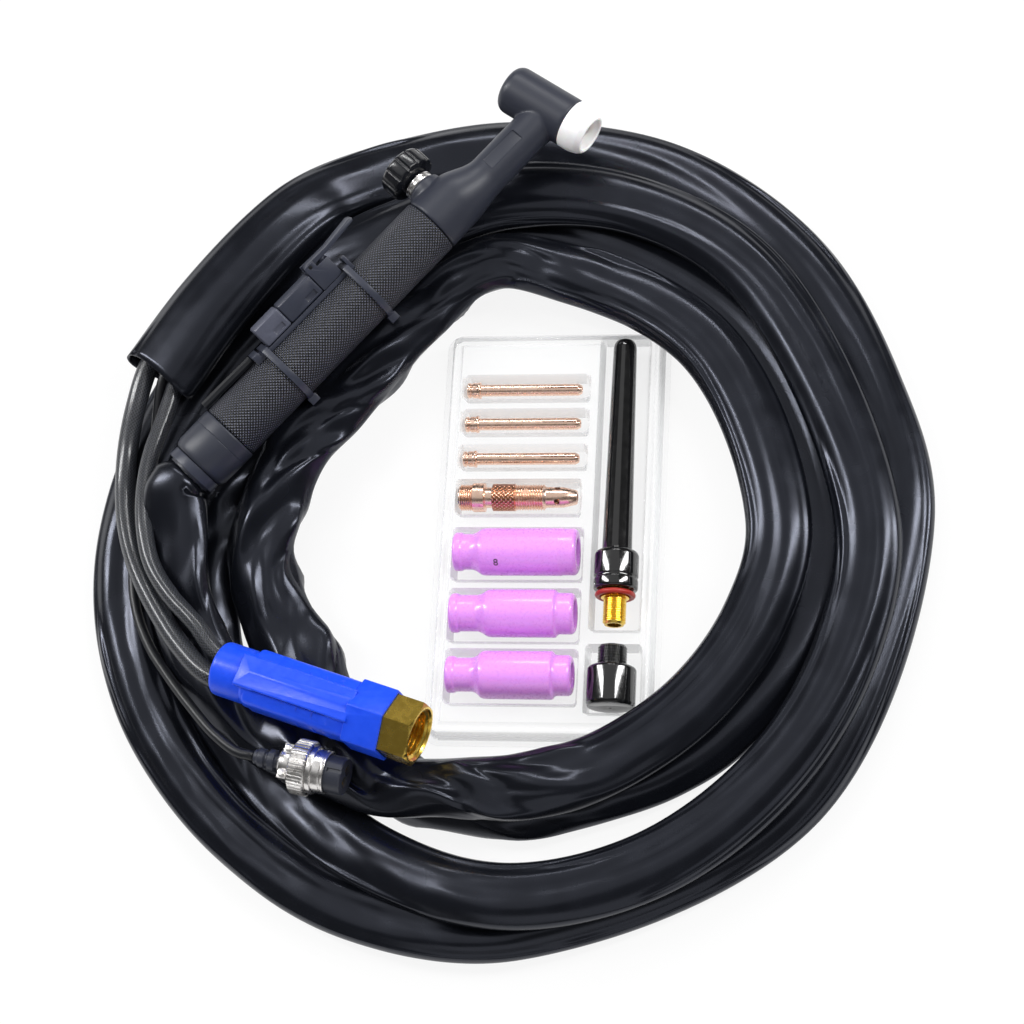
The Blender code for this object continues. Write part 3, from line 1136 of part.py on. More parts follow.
def nozzle_profile(index):
    """Outer steps of a nozzle from its rear, then its bore back again."""
    neck_r, neck_length, lip_r = NOZZLE_NECK_R[index], NOZZLE_NECK_LENGTH[index], NOZZLE_LIP_R[index]
    length = NOZZLE_LENGTH
    lip_start = length - 0.0075
    bore_r = min(neck_r, lip_r) - NOZZLE_WALL
    outer = [(0.0, neck_r + 0.0002), (0.0006, neck_r + 0.0008), (0.0032, neck_r + 0.0008),
             (0.0040, neck_r), (neck_length, neck_r), (neck_length + 0.0030, NOZZLE_R),
             (lip_start - 0.0006, NOZZLE_R), (lip_start, lip_r + 0.0002), (length - 0.0010, lip_r),
             (length, lip_r - 0.0010)]
    inner = [(length, bore_r), (0.0, bore_r)]
    return outer + inner, bore_r


def make_nozzles(tray):
    """Three lilac ceramic nozzles."""
    for index, row in enumerate(NOZZLE_ROWS):
        profile, _ = nozzle_profile(index)
        turned(f"nozzle_{index + 1}", profile, tray, ALUMINA, hollow=True, segments=28,
               at=(KIT_LEFT, row, rest_height(NOZZLE_R)))


def make_caps(tray):
    """Long and short back caps, the long one with its red ring and brass thread."""
    long_cap = frame_at("long_cap_frame", (CAP_COLUMN, LONG_CAP_TOP, rest_height(LONG_CAP_COLLAR_R)),
                        -90.0, parent=tray)
    tube_end = LONG_CAP_LENGTH - LONG_CAP_COLLAR_LENGTH
    profile = [(0.0, LONG_CAP_TIP_R * 0.35), (0.0012, LONG_CAP_TIP_R * 0.78), (0.0038, LONG_CAP_TIP_R),
               (tube_end, LONG_CAP_R), (tube_end + 0.0006, LONG_CAP_COLLAR_R - 0.0008),
               (tube_end + 0.0014, LONG_CAP_COLLAR_R), (LONG_CAP_LENGTH - 0.0008, LONG_CAP_COLLAR_R),
               (LONG_CAP_LENGTH, LONG_CAP_COLLAR_R - 0.0008)]
    cap = turned("long_back_cap", profile, long_cap, CAP_BLACK, segments=28)
    cap_bore = turned("long_cap_bore_cut", [(0.012, CAP_THREAD_R - 0.0019),
                                            (LONG_CAP_LENGTH + 0.01, CAP_THREAD_R - 0.0019)],
                      long_cap, None, segments=16)
    boolean(cap, cap_bore)
    step_start = LONG_CAP_LENGTH + GAP
    thread_start = step_start + CAP_STEP_LENGTH
    thread_bore = CAP_THREAD_R - 0.0019
    turned("long_cap_thread", [(step_start, thread_bore), (step_start, CAP_STEP_R), (thread_start, CAP_STEP_R),
                               (thread_start, CAP_THREAD_R), (thread_start + CAP_THREAD_LENGTH - 0.0008,
                                                              CAP_THREAD_R),
                               (thread_start + CAP_THREAD_LENGTH, CAP_THREAD_R - 0.0008),
                               (thread_start + CAP_THREAD_LENGTH, thread_bore)],
           long_cap, BRASS, hollow=True, segments=24)
    ring_middle = step_start + CAP_STEP_LENGTH / 2 + 0.0002
    ring_r = CAP_STEP_R + GAP + ORING_R
    ring_points = [(ring_middle + ORING_R * math.cos(math.tau * step / 8),
                    ring_r + ORING_R * math.sin(math.tau * step / 8)) for step in range(8)]
    turned("long_cap_oring", ring_points, long_cap, ORING_RED, hollow=True, segments=28)

    short_cap = frame_at("short_cap_frame", (CAP_COLUMN, SHORT_CAP_TOP, rest_height(SHORT_CAP_R)), -90.0,
                         parent=tray)
    neck_end = SHORT_CAP_NECK_LENGTH
    total = neck_end + SHORT_CAP_LENGTH
    turned("short_back_cap", [(0.0, SHORT_CAP_NECK_R - 0.0021), (0.0, SHORT_CAP_NECK_R - 0.0005),
                              (0.0006, SHORT_CAP_NECK_R), (neck_end, SHORT_CAP_NECK_R),
                              (neck_end, SHORT_CAP_R - 0.0008), (neck_end + 0.0008, SHORT_CAP_R),
                              (total - 0.0010, SHORT_CAP_R), (total, SHORT_CAP_R - 0.0010),
                              (total, 0.0)][:-1] + [(total, 0.0005), (total - 0.004, 0.0005),
                                                    (total - 0.004, SHORT_CAP_NECK_R - 0.0021)],
           short_cap, CAP_BLACK, hollow=True, segments=28)


# ================================================================ clear tray
def tray_pockets():
    """Footprints of the pockets: low corner and high corner across and along the tray."""
    room = POCKET_ROOM
    pockets = []
    for row in COLLET_ROWS:
        pockets.append((KIT_LEFT - room, row - COLLET_HEAD_R - room,
                        KIT_LEFT + COLLET_LENGTH + 2.5 * room, row + COLLET_HEAD_R + room))
    pockets.append((KIT_LEFT - room, COLLET_BODY_ROW - 0.0063 - room,
                    KIT_LEFT + COLLET_BODY_LENGTH + room, COLLET_BODY_ROW + 0.0063 + room))
    for row in NOZZLE_ROWS:
        pockets.append((KIT_LEFT - room, row - NOZZLE_R - room, KIT_LEFT + NOZZLE_LENGTH + room,
                        row + NOZZLE_R + room))
    long_end = LONG_CAP_TOP - LONG_CAP_OVERALL
    pockets.append((CAP_COLUMN - LONG_CAP_COLLAR_R - room, long_end - room, CAP_COLUMN + LONG_CAP_COLLAR_R + room,
                    LONG_CAP_TOP + room))
    short_end = SHORT_CAP_TOP - SHORT_CAP_LENGTH - SHORT_CAP_NECK_LENGTH
    pockets.append((CAP_COLUMN - SHORT_CAP_R - room, short_end - room, CAP_COLUMN + SHORT_CAP_R + room,
                    SHORT_CAP_TOP + room))
    return pockets


def make_tray(tray):
    """The clear formed tray: a flange, sloping walls, a deck and a pocket for each piece."""
    pockets = tray_pockets()
    lines = []
    for axis, low, high in ((0, TRAY_LEFT, TRAY_RIGHT), (1, TRAY_BOTTOM, TRAY_TOP)):
        edges = {low: 0.0, high: 0.0}
        for end, inward in ((low, 1.0), (high, -1.0)):
            edges[end + inward * TRAY_FLANGE] = inward * TRAY_SHEET
            edges[end + inward * (TRAY_FLANGE + TRAY_DRAFT)] = inward * TRAY_SHEET
        for pocket in pockets:
            start, stop = pocket[axis], pocket[axis + 2]
            for line in (start, start + TRAY_DRAFT):
                edges[line] = -TRAY_SHEET
            for line in (stop - TRAY_DRAFT, stop):
                edges[line] = TRAY_SHEET
        lines.append(merged(edges))

    def level(x, y):
        edge = min(x - TRAY_LEFT, TRAY_RIGHT - x, y - TRAY_BOTTOM, TRAY_TOP - y)
        if edge < TRAY_FLANGE + 1e-6:
            return TRAY_SHEET
        for x0, y0, x1, y1 in pockets:
            if min(x - x0, x1 - x, y - y0, y1 - y) > TRAY_DRAFT - 0.0002:
                return TRAY_SHEET
        return TRAY_HEIGHT

    columns, rows = lines
    bm = bmesh.new()
    sheets = []
    for lower in (0, 1):
        sheet = []
        for y, y_shift in rows:
            row = []
            for x, x_shift in columns:
                height = level(x, y) - lower * TRAY_SHEET
                row.append(bm.verts.new((x + lower * x_shift, y + lower * y_shift, height)))
            sheet.append(row)
        sheets.append(sheet)
        for near, far in zip(sheet, sheet[1:]):
            for step in range(len(columns) - 1):
                bm.faces.new((near[step], near[step + 1], far[step + 1], far[step]))
    join_rings(bm, [sheet_border(sheets[0]), sheet_border(sheets[1])])
    bmesh.ops.recalc_face_normals(bm, faces=bm.faces)
    bmesh.ops.dissolve_limit(bm, angle_limit=math.radians(0.5), verts=bm.verts, edges=bm.edges)
    bmesh.ops.triangulate(bm, faces=bm.faces)
    return add_object("blister_tray", finish_mesh(bm, "blister_tray", 20.0), tray, finish=TRAY_CLEAR)


def sheet_border(sheet):
    """The outer ring of a sheet's grid."""
    border = list(sheet[0])
    border += [row[-1] for row in sheet[1:]]
    border += list(reversed(sheet[-1]))[1:]
    border += [row[0] for row in reversed(sheet[1:-1])]
    return border


def merged(edges):
    """Sorted grid lines with their shifts, near twins left out."""
    result = []
    for line in sorted(edges):
        if not result or line - result[-1][0] > 0.00035:
            result.append((line, edges[line]))
    return result


# ================================================================ the whole
CORD_PIECES = ("cable_sheath", "sheath_mouth", "power_hose", "gas_hose", "control_cable", "connector_",
               "hose_nipple", "hose_manifold", "power_ferrule", "gas_ferrule", "plug_")


def centre_model():
    """Set the origin under the middle of the torch and the tray."""
    bpy.context.view_layer.update()
    graph = bpy.context.evaluated_depsgraph_get()
    points = []
    for item in bpy.data.objects:
        if item.type != "MESH" or item.hide_render or item.name.startswith(CORD_PIECES):
            continue
        mesh = item.evaluated_get(graph).to_mesh()
        points += [item.matrix_world @ vertex.co for vertex in mesh.vertices]
    middle = [(min(point[i] for point in points) + max(point[i] for point in points)) / 2 for i in (0, 1)]
    origin = bpy.data.objects.new("model_origin", None)
    bpy.context.collection.objects.link(origin)
    for item in list(bpy.data.objects):
        if item.parent is None and item is not origin:
            item.parent = origin
    origin.location = (-middle[0], -middle[1], 0.0)
    bpy.context.view_layer.update()


def build():
    """Make every piece."""
    clear_scene()
    torch = frame_at("torch_frame", TORCH_AT, TORCH_HEADING, TORCH_LIFT, TORCH_ROLL)
    make_body(torch)
    make_head(torch)
    make_valve(torch)
    make_handle(torch)
    make_switch(torch)
    mouth_end, mouth_tip = make_sheath(torch)
    connector = make_connector()
    plug = make_plug()
    bpy.context.view_layer.update()
    make_hoses(mouth_end, mouth_tip, connector, plug)
    tray = frame_at("tray_frame", TRAY_AT, TRAY_HEADING)
    make_collets(tray)
    make_collet_body(tray)
    make_nozzles(tray)
    make_caps(tray)
    make_tray(tray)
    centre_model()


build()
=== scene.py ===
"""Looks of a gas-cooled welding torch with its lead, connectors and tray of spare parts."""
import math

import bmesh
import bpy
from mathutils import Matrix, Vector, noise


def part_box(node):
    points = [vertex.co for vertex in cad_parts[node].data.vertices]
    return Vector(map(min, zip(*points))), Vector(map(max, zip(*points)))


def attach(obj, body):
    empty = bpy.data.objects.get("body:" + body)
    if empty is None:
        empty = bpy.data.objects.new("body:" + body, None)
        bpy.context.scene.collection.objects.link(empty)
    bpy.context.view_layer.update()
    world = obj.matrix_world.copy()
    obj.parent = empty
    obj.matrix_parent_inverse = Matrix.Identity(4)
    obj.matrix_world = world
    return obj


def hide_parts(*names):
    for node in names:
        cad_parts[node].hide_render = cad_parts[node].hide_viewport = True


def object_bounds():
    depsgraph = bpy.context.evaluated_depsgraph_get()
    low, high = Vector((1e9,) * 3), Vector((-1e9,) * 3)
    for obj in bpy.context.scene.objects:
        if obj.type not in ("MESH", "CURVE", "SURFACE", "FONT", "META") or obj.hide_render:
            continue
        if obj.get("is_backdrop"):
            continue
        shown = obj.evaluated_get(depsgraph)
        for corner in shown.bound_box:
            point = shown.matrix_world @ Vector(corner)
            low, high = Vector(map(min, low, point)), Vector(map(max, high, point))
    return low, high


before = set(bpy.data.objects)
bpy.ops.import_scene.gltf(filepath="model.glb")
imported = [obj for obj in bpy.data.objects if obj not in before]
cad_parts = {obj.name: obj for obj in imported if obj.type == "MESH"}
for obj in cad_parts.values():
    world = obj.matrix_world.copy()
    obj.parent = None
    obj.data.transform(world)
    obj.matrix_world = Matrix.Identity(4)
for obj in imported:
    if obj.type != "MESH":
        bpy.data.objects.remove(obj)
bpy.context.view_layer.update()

# ------------------------------------------------------------------ camera
# A long lens above the table, leaned a little from the front and the right.
# TABLE carries the layout's own zero to where the frame puts it, found from the tray's box.
bpy.ops.object.select_all(action="DESELECT")
TRAY_TURN = Matrix.Rotation(math.radians(-3.1), 4, "Z")
TRAY_MIDDLE = Vector((0.0166, -0.0130, 0.0)) + TRAY_TURN @ Vector((0.0, 0.00125, 0.0))
tray_low, tray_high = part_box("blister_tray")
SHIFT = (tray_low + tray_high) / 2 - TRAY_MIDDLE
SHIFT.z = 0.0
TABLE = Matrix.Translation(SHIFT)
eye_way = Vector((0.15, -0.33, 0.93)).normalized()
eye_right = Vector((0, 1, 0)).cross(eye_way).normalized()
eye_up = eye_way.cross(eye_right)
camera_data = bpy.data.cameras.new("camera")
camera_data.lens = 84.9
camera_data.sensor_width = 36.0
camera_data.clip_start = 0.05
camera_data.clip_end = 20.0
camera = bpy.data.objects.new("camera", camera_data)
bpy.context.collection.objects.link(camera)
turn = Matrix((eye_right, eye_up, eye_way)).transposed().to_4x4()
camera.matrix_world = Matrix.Translation(eye_way * 1.05 + SHIFT) @ turn
bpy.context.scene.camera = camera


# ------------------------------------------------------------------ cover of the lead
# Soft flat PVC sleeve that holds the hoses together, laid in four turns.
# Thin calendered sheet, seamed along its edges: it creases at the bends and shines along its folds.
def linear(code):
    """A colour written as hex, as the renderer counts it."""
    parts = [int(code[i:i + 2], 16) / 255 for i in (1, 3, 5)]
    return (*(c / 12.92 if c <= 0.04045 else ((c + 0.055) / 1.055) ** 2.4 for c in parts), 1.0)


def add(tree, kind, inputs=None, **settings):
    """Add a node with its settings and its links."""
    item = tree.nodes.new(kind)
    for key, value in settings.items():
        setattr(item, key, value)
    for key, value in (inputs or {}).items():
        if isinstance(value, bpy.types.NodeSocket):
            tree.links.new(value, item.inputs[key])
        else:
            item.inputs[key].default_value = value
    return item


def finish(name, colour, roughness, metallic=0.0, **more):
    """A material with its plain values on the shader's own sockets."""
    made = bpy.data.materials.new(name)
    made.use_nodes = True
    shader = made.node_tree.nodes["Principled BSDF"]
    shader.inputs["Base Color"].default_value = linear(colour)
    shader.inputs["Roughness"].default_value = roughness
    shader.inputs["Metallic"].default_value = metallic
    for key, value in more.items():
        shader.inputs[key.replace("_", " ")].default_value = value
    return made, made.node_tree, shader


def coat(piece, *materials):
    """Give a piece its materials, in place of any it has."""
    piece.data.materials.clear()
    for material in materials:
        piece.data.materials.append(material)


def grain(tree, shader, size_mm, height_mm, colours=None, roughs=None, detail=3.0):
    """Moulded grain: bump of one real size, with the tone and gloss that go with it."""
    place = add(tree, "ShaderNodeTexCoord")
    pattern = add(tree, "ShaderNodeTexNoise", {"Vector": place.outputs["Object"], "Scale": 1000.0 / size_mm,
                                               "Detail": detail, "Roughness": 0.55})
    bump = add(tree, "ShaderNodeBump", {"Height": pattern.outputs["Fac"], "Strength": 1.0,
                                        "Distance": height_mm / 1000.0})
    tree.links.new(bump.outputs["Normal"], shader.inputs["Normal"])
    if colours:
        tone = add(tree, "ShaderNodeMix", {0: pattern.outputs["Fac"], 6: linear(colours[0]),
                                           7: linear(colours[1])}, data_type="RGBA")
        tree.links.new(tone.outputs[2], shader.inputs["Base Color"])
    if roughs:
        gloss = add(tree, "ShaderNodeMapRange", {"Value": pattern.outputs["Fac"], "From Min": 0.3,
                                                 "From Max": 0.7, "To Min": roughs[0], "To Max": roughs[1]})
        tree.links.new(gloss.outputs["Result"], shader.inputs["Roughness"])


def grained(name, colour, roughness, size_mm, height_mm, colours=None, roughs=None, detail=3.0, **more):
    """A material with its plain values and its grain."""
    made, tree, shader = finish(name, colour, roughness, **more)
    grain(tree, shader, size_mm, height_mm, colours, roughs, detail)
    return made


def smooth_route(points, step):
    """Points a step apart on a smooth curve through the route's points."""
    rows = [list(point) for point in points]
    rows = ([[2 * a - b for a, b in zip(rows[0], rows[1])]] + rows
            + [[2 * a - b for a, b in zip(rows[-1], rows[-2])]])
    dense = []
    for index in range(1, len(rows) - 2):
        four = rows[index - 1:index + 3]
        knots = [0.0]
        for first, second in zip(four, four[1:]):
            knots.append(knots[-1] + math.sqrt(max(math.dist(first[:3], second[:3]), 1e-6)))
        for part in range(24):
            t = knots[1] + (knots[2] - knots[1]) * part / 24

            def mix(first, second, low, high):
                share = (t - low) / (high - low)
                return [a + (b - a) * share for a, b in zip(first, second)]

            a1 = mix(four[0], four[1], knots[0], knots[1])
            a2 = mix(four[1], four[2], knots[1], knots[2])
            a3 = mix(four[2], four[3], knots[2], knots[3])
            b1 = mix(a1, a2, knots[0], knots[2])
            b2 = mix(a2, a3, knots[1], knots[3])
            dense.append(mix(b1, b2, knots[1], knots[2]))
    dense.append(rows[-2])
    lengths = [0.0]
    for first, second in zip(dense, dense[1:]):
        lengths.append(lengths[-1] + math.dist(first[:3], second[:3]))
    count = max(2, round(lengths[-1] / step))
    result = []
    place = 0
    for number in range(count + 1):
        goal = lengths[-1] * number / count
        while place < len(lengths) - 2 and lengths[place + 1] < goal:
            place += 1
        share = min(1.0, max(0.0, (goal - lengths[place]) / (lengths[place + 1] - lengths[place])))
        result.append([a + (b - a) * share for a, b in zip(dense[place], dense[place + 1])])
    return result


TORCH = TABLE @ Matrix.Translation((-0.1177, 0.0310, 0.0352)) @ (
    Matrix.Rotation(math.radians(44.7), 4, "Z") @ Matrix.Rotation(math.radians(-3.6), 4, "Y")
    @ Matrix.Rotation(math.radians(3.0), 4, "X"))
# Stations round the coil: degrees from the start, radius, height and tilt, in millimetres and degrees.
COIL_STATIONS = (
    (180, 143.0, 29.0, 16), (192, 143.0, 23.5, 18), (206, 137.5, 19.5, 8), (225, 127.0, 19.2, 0),
    (247, 116.5, 19.2, 0), (270, 111.0, 19.2, 0), (292, 109.0, 19.2, 0), (315, 109.5, 19.2, 0),
    (338, 112.0, 19.2, 0), (360, 115.0, 19.2, 0),
    (405, 119.0, 19.2, 0), (450, 125.0, 19.2, 0), (475, 106.5, 19.2, 0), (495, 100.0, 19.2, 0),
    (517, 102.5, 19.2, 0), (540, 106.0, 17.5, 0), (562, 106.5, 11.5, 0), (585, 109.5, 6.6, 0),
    (607, 114.0, 6.6, 0), (630, 115.5, 6.6, 0), (652, 116.5, 6.6, 0), (664, 120.0, 6.6, 0),
    (675, 123.0, 6.6, 0), (697, 128.5, 6.6, 0), (720, 132.0, 6.6, 0), (765, 140.0, 6.6, 0),
    (810, 151.0, 6.6, 0), (835, 138.0, 6.6, 0), (855, 132.5, 6.6, 0), (877, 132.0, 6.6, 0),
    (900, 136.0, 6.6, 0), (922, 140.5, 6.6, 0), (945, 142.5, 7.5, 0), (967, 148.0, 13.0, 0),
    (990, 155.5, 19.5, 0), (1012, 155.5, 19.5, 0), (1035, 153.5, 19.5, 0), (1057, 152.0, 19.5, 0),
    (1080, 151.5, 19.5, 0),
    (1125, 156.0, 19.5, 0), (1148, 160.0, 19.5, 0), (1170, 159.0, 19.5, 0), (1187, 152.5, 20.0, 0),
    (1195, 152.5, 20.2, 0), (1207, 157.5, 15.5, 0), (1220, 163.5, 8.0, 0), (1237, 167.0, 6.6, 0),
    (1260, 172.0, 6.6, 0), (1282, 171.5, 6.6, 0), (1305, 170.0, 6.6, 0), (1327, 169.0, 6.6, 0),
    (1350, 165.5, 6.6, 0), (1395, 164.5, 6.6, 0), (1440, 165.5, 6.6, 0), (1462, 167.5, 6.6, 0),
    (1485, 175.5, 6.6, 0), (1508, 183.5, 6.6, 0), (1530, 186.0, 7.0, 0), (1545, 186.5, 10.0, 0),
    (1555, 184.5, 18.0, 0), (1560, 181.5, 23.5, 0), (1567, 177.0, 26.5, 0), (1580, 172.5, 27.0, 0),
    (1593, 174.0, 25.5, 0),
)
COIL_MIDDLE = (0.001, -0.016)
COVER_WIDTH = 0.0280
COVER_THICKNESS = 0.0120
MOUTH_LENGTH = 0.0466
boot_tail = -0.0263
throat = 0.0204
route = [(*(TORCH @ Vector((boot_tail, 0, 0))), throat, throat, 0.0),
         (*(TORCH @ Vector((boot_tail - 0.007, 0, 0))), throat * 1.32, throat * 1.02, 0.0)]
# Where the cover lies flatter and wider: from, to and how many millimetres.
FULLER = ((180, 215, 3.5), (500, 590, 4.5), (700, 760, 2.5), (815, 945, 4.5), (1150, 1240, 4.5),
          (1241, 1290, 1.5), (1480, 1600, 4.0))
for compass, radius, height, tilt in COIL_STATIONS:
    around = math.radians(compass)
    fuller = sum(0.001 * more for start, stop, more in FULLER if start <= compass <= stop)
    x = COIL_MIDDLE[0] + radius / 1000 * math.cos(around) + SHIFT.x
    y = COIL_MIDDLE[1] + radius / 1000 * math.sin(around) + SHIFT.y
    route.append((x, y, height / 1000, COVER_WIDTH + fuller, COVER_THICKNESS, math.radians(tilt)))
COVER_STEP = 0.003
cover_rows = smooth_route(route, COVER_STEP)


COVER_SIDES = 80
BUCKLE_HEIGHT, CREASE_HEIGHT, EDGE_FOLD, MIDDLE_FOLD = 0.0070, 0.0010, 0.0025, 0.0015


def fold_line(along, side, seat, drift, width, high):
    """Height of one long fold that wanders across the cover as it runs."""
    middle = seat + drift * noise.noise(Vector((along * 5.0, seat * 9.0, 4.7)))
    fade = 0.7 + 0.9 * noise.noise(Vector((along * 8.0, seat * 5.0, 9.1)))
    near = abs(side - middle) / width
    return high * max(0.0, min(1.2, fade)) / (1.0 + near * near) ** 1.3


def cover_ring(place, ahead, width, thickness, tilt, along, fold, crumple):
    """Points of one flat section of the cover, with its long folds and the buckles of the tight bends."""
    ahead = ahead.normalized()
    across = Vector((0, 0, 1)).cross(ahead).normalized()
    upright = ahead.cross(across)
    across, upright = (across * math.cos(tilt) + upright * math.sin(tilt),
                       upright * math.cos(tilt) - across * math.sin(tilt))
    points = []
    for step in range(COVER_SIDES):
        angle = math.tau * step / COVER_SIDES
        side, rise = math.cos(angle), math.sin(angle)
        side = math.copysign(abs(side) ** 0.92, side)
        lift = 0.0
        if fold:
            face = 3.0 if rise > 0 else 31.0
            slow = noise.noise(Vector((along * 11.0, side * 1.1, face)))
            buckle = noise.noise(Vector((along * 38.0 + side * 0.7, side * 0.8, face + 3.0)))
            crease = 1.0 - abs(noise.noise(Vector((along * 26.0 + side * 0.9, side * 0.8, face + 8.0)))) * 5.0
            long_folds = 1.0 - 0.55 * crumple
            lift = 0.0016 * slow - 0.0016
            lift += crumple * (BUCKLE_HEIGHT * buckle + CREASE_HEIGHT * max(0.0, crease))
            lift += long_folds * fold_line(along + face, side, -0.78, 0.22, 0.15, EDGE_FOLD)
            lift += long_folds * fold_line(along + 3.1 + face, side, 0.76, 0.22, 0.15, EDGE_FOLD)
            lift += long_folds * fold_line(along + 6.2 + face, side, -0.05, 0.60, 0.26, MIDDLE_FOLD)
            lift *= fold * min(1.0, abs(rise) * 1.9 + 0.2)
        points.append(place + across * (side * (width / 2 + (0.4 + 0.5 * crumple) * lift))
                      + upright * (rise * (thickness / 2 + 0.0002) + math.copysign(lift, rise)))
    return points


def skin(name, rings, sides, around_mm=0.08):
    """A tube mesh over rings of points, with a map that runs along it and round it."""
    bm = bmesh.new()
    layer = bm.loops.layers.uv.new("UVMap")
    rows = [[bm.verts.new(point) for point in ring] for ring in rings]
    run = 0.0
    for index in range(len(rows) - 1):
        start = sum((Vector(p) for p in rings[index]), Vector()) / sides
        stop = sum((Vector(p) for p in rings[index + 1]), Vector()) / sides
        ahead = run + (stop - start).length
        for step in range(sides):
            after = (step + 1) % sides
            face = bm.faces.new((rows[index][step], rows[index][after], rows[index + 1][after],
                                 rows[index + 1][step]))
            face.smooth = True
            places = ((run, step), (run, step + 1), (ahead, step + 1), (ahead, step))
            for corner, (u, v) in zip(face.loops, places):
                corner[layer].uv = (u, v / sides * around_mm)
        run = ahead
    bm.faces.new(rows[0])
    bm.faces.new(rows[-1])
    bmesh.ops.recalc_face_normals(bm, faces=bm.faces)
    mesh = bpy.data.meshes.new(name)
    bm.to_mesh(mesh)
    bm.free()
    piece = bpy.data.objects.new(name, mesh)
    bpy.context.collection.objects.link(piece)
    return piece


PINCH, SWAY, GAPE, TABLE_TOP = 0.22, 0.0050, 0.0016, 0.0002
cover_places = [Vector(row[:3]) for row in cover_rows]
cover_end = len(cover_rows) - 1 - round(MOUTH_LENGTH / COVER_STEP)
mouth_end, mouth_tip = cover_places[cover_end], cover_places[-1]
mouth_ahead = mouth_tip - mouth_end
cover_rings, cover_line = [], []
for index in range(len(cover_rows)):
    here, after = cover_places[max(0, index - 1)], cover_places[min(len(cover_places) - 1, index + 1)]
    ahead = after - here
    if index < 3:
        ahead = (TORCH @ Vector((-1, 0, 0))) - (TORCH @ Vector((0, 0, 0)))
    along = index * COVER_STEP
    left = (len(cover_rows) - 1 - index) * COVER_STEP
    soft = min(1.0, max(0.0, (along - 0.004) / 0.04)) * (0.45 + 0.55 * min(1.0, left / 0.06))
    swell = max(0.0, 1.0 - left / 0.17)
    swell = swell * swell * (3 - 2 * swell)
    row = cover_rows[index]
    spot = cover_places[index] - SHIFT
    outward = math.hypot(spot.x - COIL_MIDDLE[0], spot.y - COIL_MIDDLE[1])
    # The inner strands of the left half crumple most, as on the photo.
    on_the_left = min(1.0, max(0.0, (0.060 - spot.x) / 0.08))
    on_the_inside = min(1.0, max(0.12, (0.150 - outward) / 0.022))
    crumple = on_the_left * on_the_inside * (1.0 - swell)
    pinch = 1.0 + PINCH * crumple * soft * noise.noise(Vector((along * 17.0, 1.7, 5.5)))
    sway = Vector((0, 0, 1)).cross(ahead).normalized() * (
        SWAY * crumple * soft * min(1.0, left / 0.1) * noise.noise(Vector((along * 25.0, 7.7, 2.5))))
    wide, thick = (row[3] + 0.0050 * swell) * pinch, (row[4] + 0.0058 * swell) / pinch
    ring = cover_ring(cover_places[index] + sway, ahead, wide, thick, row[5], along, soft, crumple)
    gape = max(0.0, 1.0 - left / 0.03) ** 2
    for step in range(COVER_SIDES):
        ring[step] += ahead.normalized() * (GAPE * gape * math.sin(math.tau * step / COVER_SIDES * 2.0 + 0.6))
        ring[step].z = max(ring[step].z, TABLE_TOP + 0.03 * max(0.0, TABLE_TOP - ring[step].z))
    cover_rings.append(ring)
    cover_line.append(tuple(sum(ring, Vector()) / COVER_SIDES))
WALL = 0.0009
inner_rings = []
for ring in reversed(cover_rings[cover_end:]):
    middle = sum(ring, Vector()) / COVER_SIDES
    inner_rings.append([point + (middle - point).normalized() * WALL for point in ring])
lead_cover = skin("lead_cover", cover_rings + inner_rings, COVER_SIDES)

# Calendered PVC: near black with a cool cast, smooth enough to gleam softly along each fold.
pvc_sheet = grained("calendered_black_pvc_sheet", "#0d0e13", 0.25, 14.0, 0.05, ("#0b0c10", "#101218"),
                    (0.22, 0.29), 1.0, IOR=1.5, Specular_Tint=linear("#e4eaff"))
lead_cover.data.materials.append(pvc_sheet)
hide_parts("cable_sheath", "sheath_mouth")
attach(lead_cover, "torch")

# ------------------------------------------------------------------ hoses and control cable
# Reinforced gas hose and power hose: clear PVC over a bright braid on a dark core.
# The control cable is a plain two-core rubber cable.  All three come out of the cover's mouth.
def placed(at, heading, lift):
    """Where a connector lies on the table, its axis along X."""
    turned = TABLE @ Matrix.Translation(at) @ Matrix.Rotation(math.radians(heading), 4, "Z")
    return turned @ Matrix.Rotation(math.radians(-lift), 4, "Y")


CONNECTOR = placed((-0.1160, -0.0762, 0.0408), -21.5, 4.0)
PLUG = placed((-0.1010, -0.1135, 0.0363), -15.0, 2.5)


def tube(name, points, radius, sides, step=0.003):
    """A round hose along a smooth route; gives the piece and the line it follows."""
    line = [Vector(row[:3]) for row in smooth_route(points, step)]
    rings = []
    across = None
    for index, place in enumerate(line):
        ahead = (line[min(len(line) - 1, index + 1)] - line[max(0, index - 1)]).normalized()
        across = (Vector((0, 0, 1)) if across is None else across)
        across = (across - ahead * across.dot(ahead)).normalized()
        upright = ahead.cross(across)
        rings.append([])
        for step_round in range(sides):
            angle = math.tau * step_round / sides
            rings[-1].append(place + (across * math.cos(angle) + upright * math.sin(angle)) * radius)
    return skin(name, rings, sides, around_mm=math.tau * radius), line


def from_table(points):
    """Points of the layout, in millimetres, where the frame puts them."""
    return [(x / 1000 + SHIFT.x, y / 1000 + SHIFT.y, z / 1000) for x, y, z in points]


mouth_across = Vector((0, 0, 1)).cross(mouth_ahead).normalized()


def hose_start(side):
    """The first points of a hose, inside the cover's mouth."""
    return [tuple(mouth_end + mouth_ahead * share + mouth_across * side) for share in (0.35, 0.65, 0.95)]


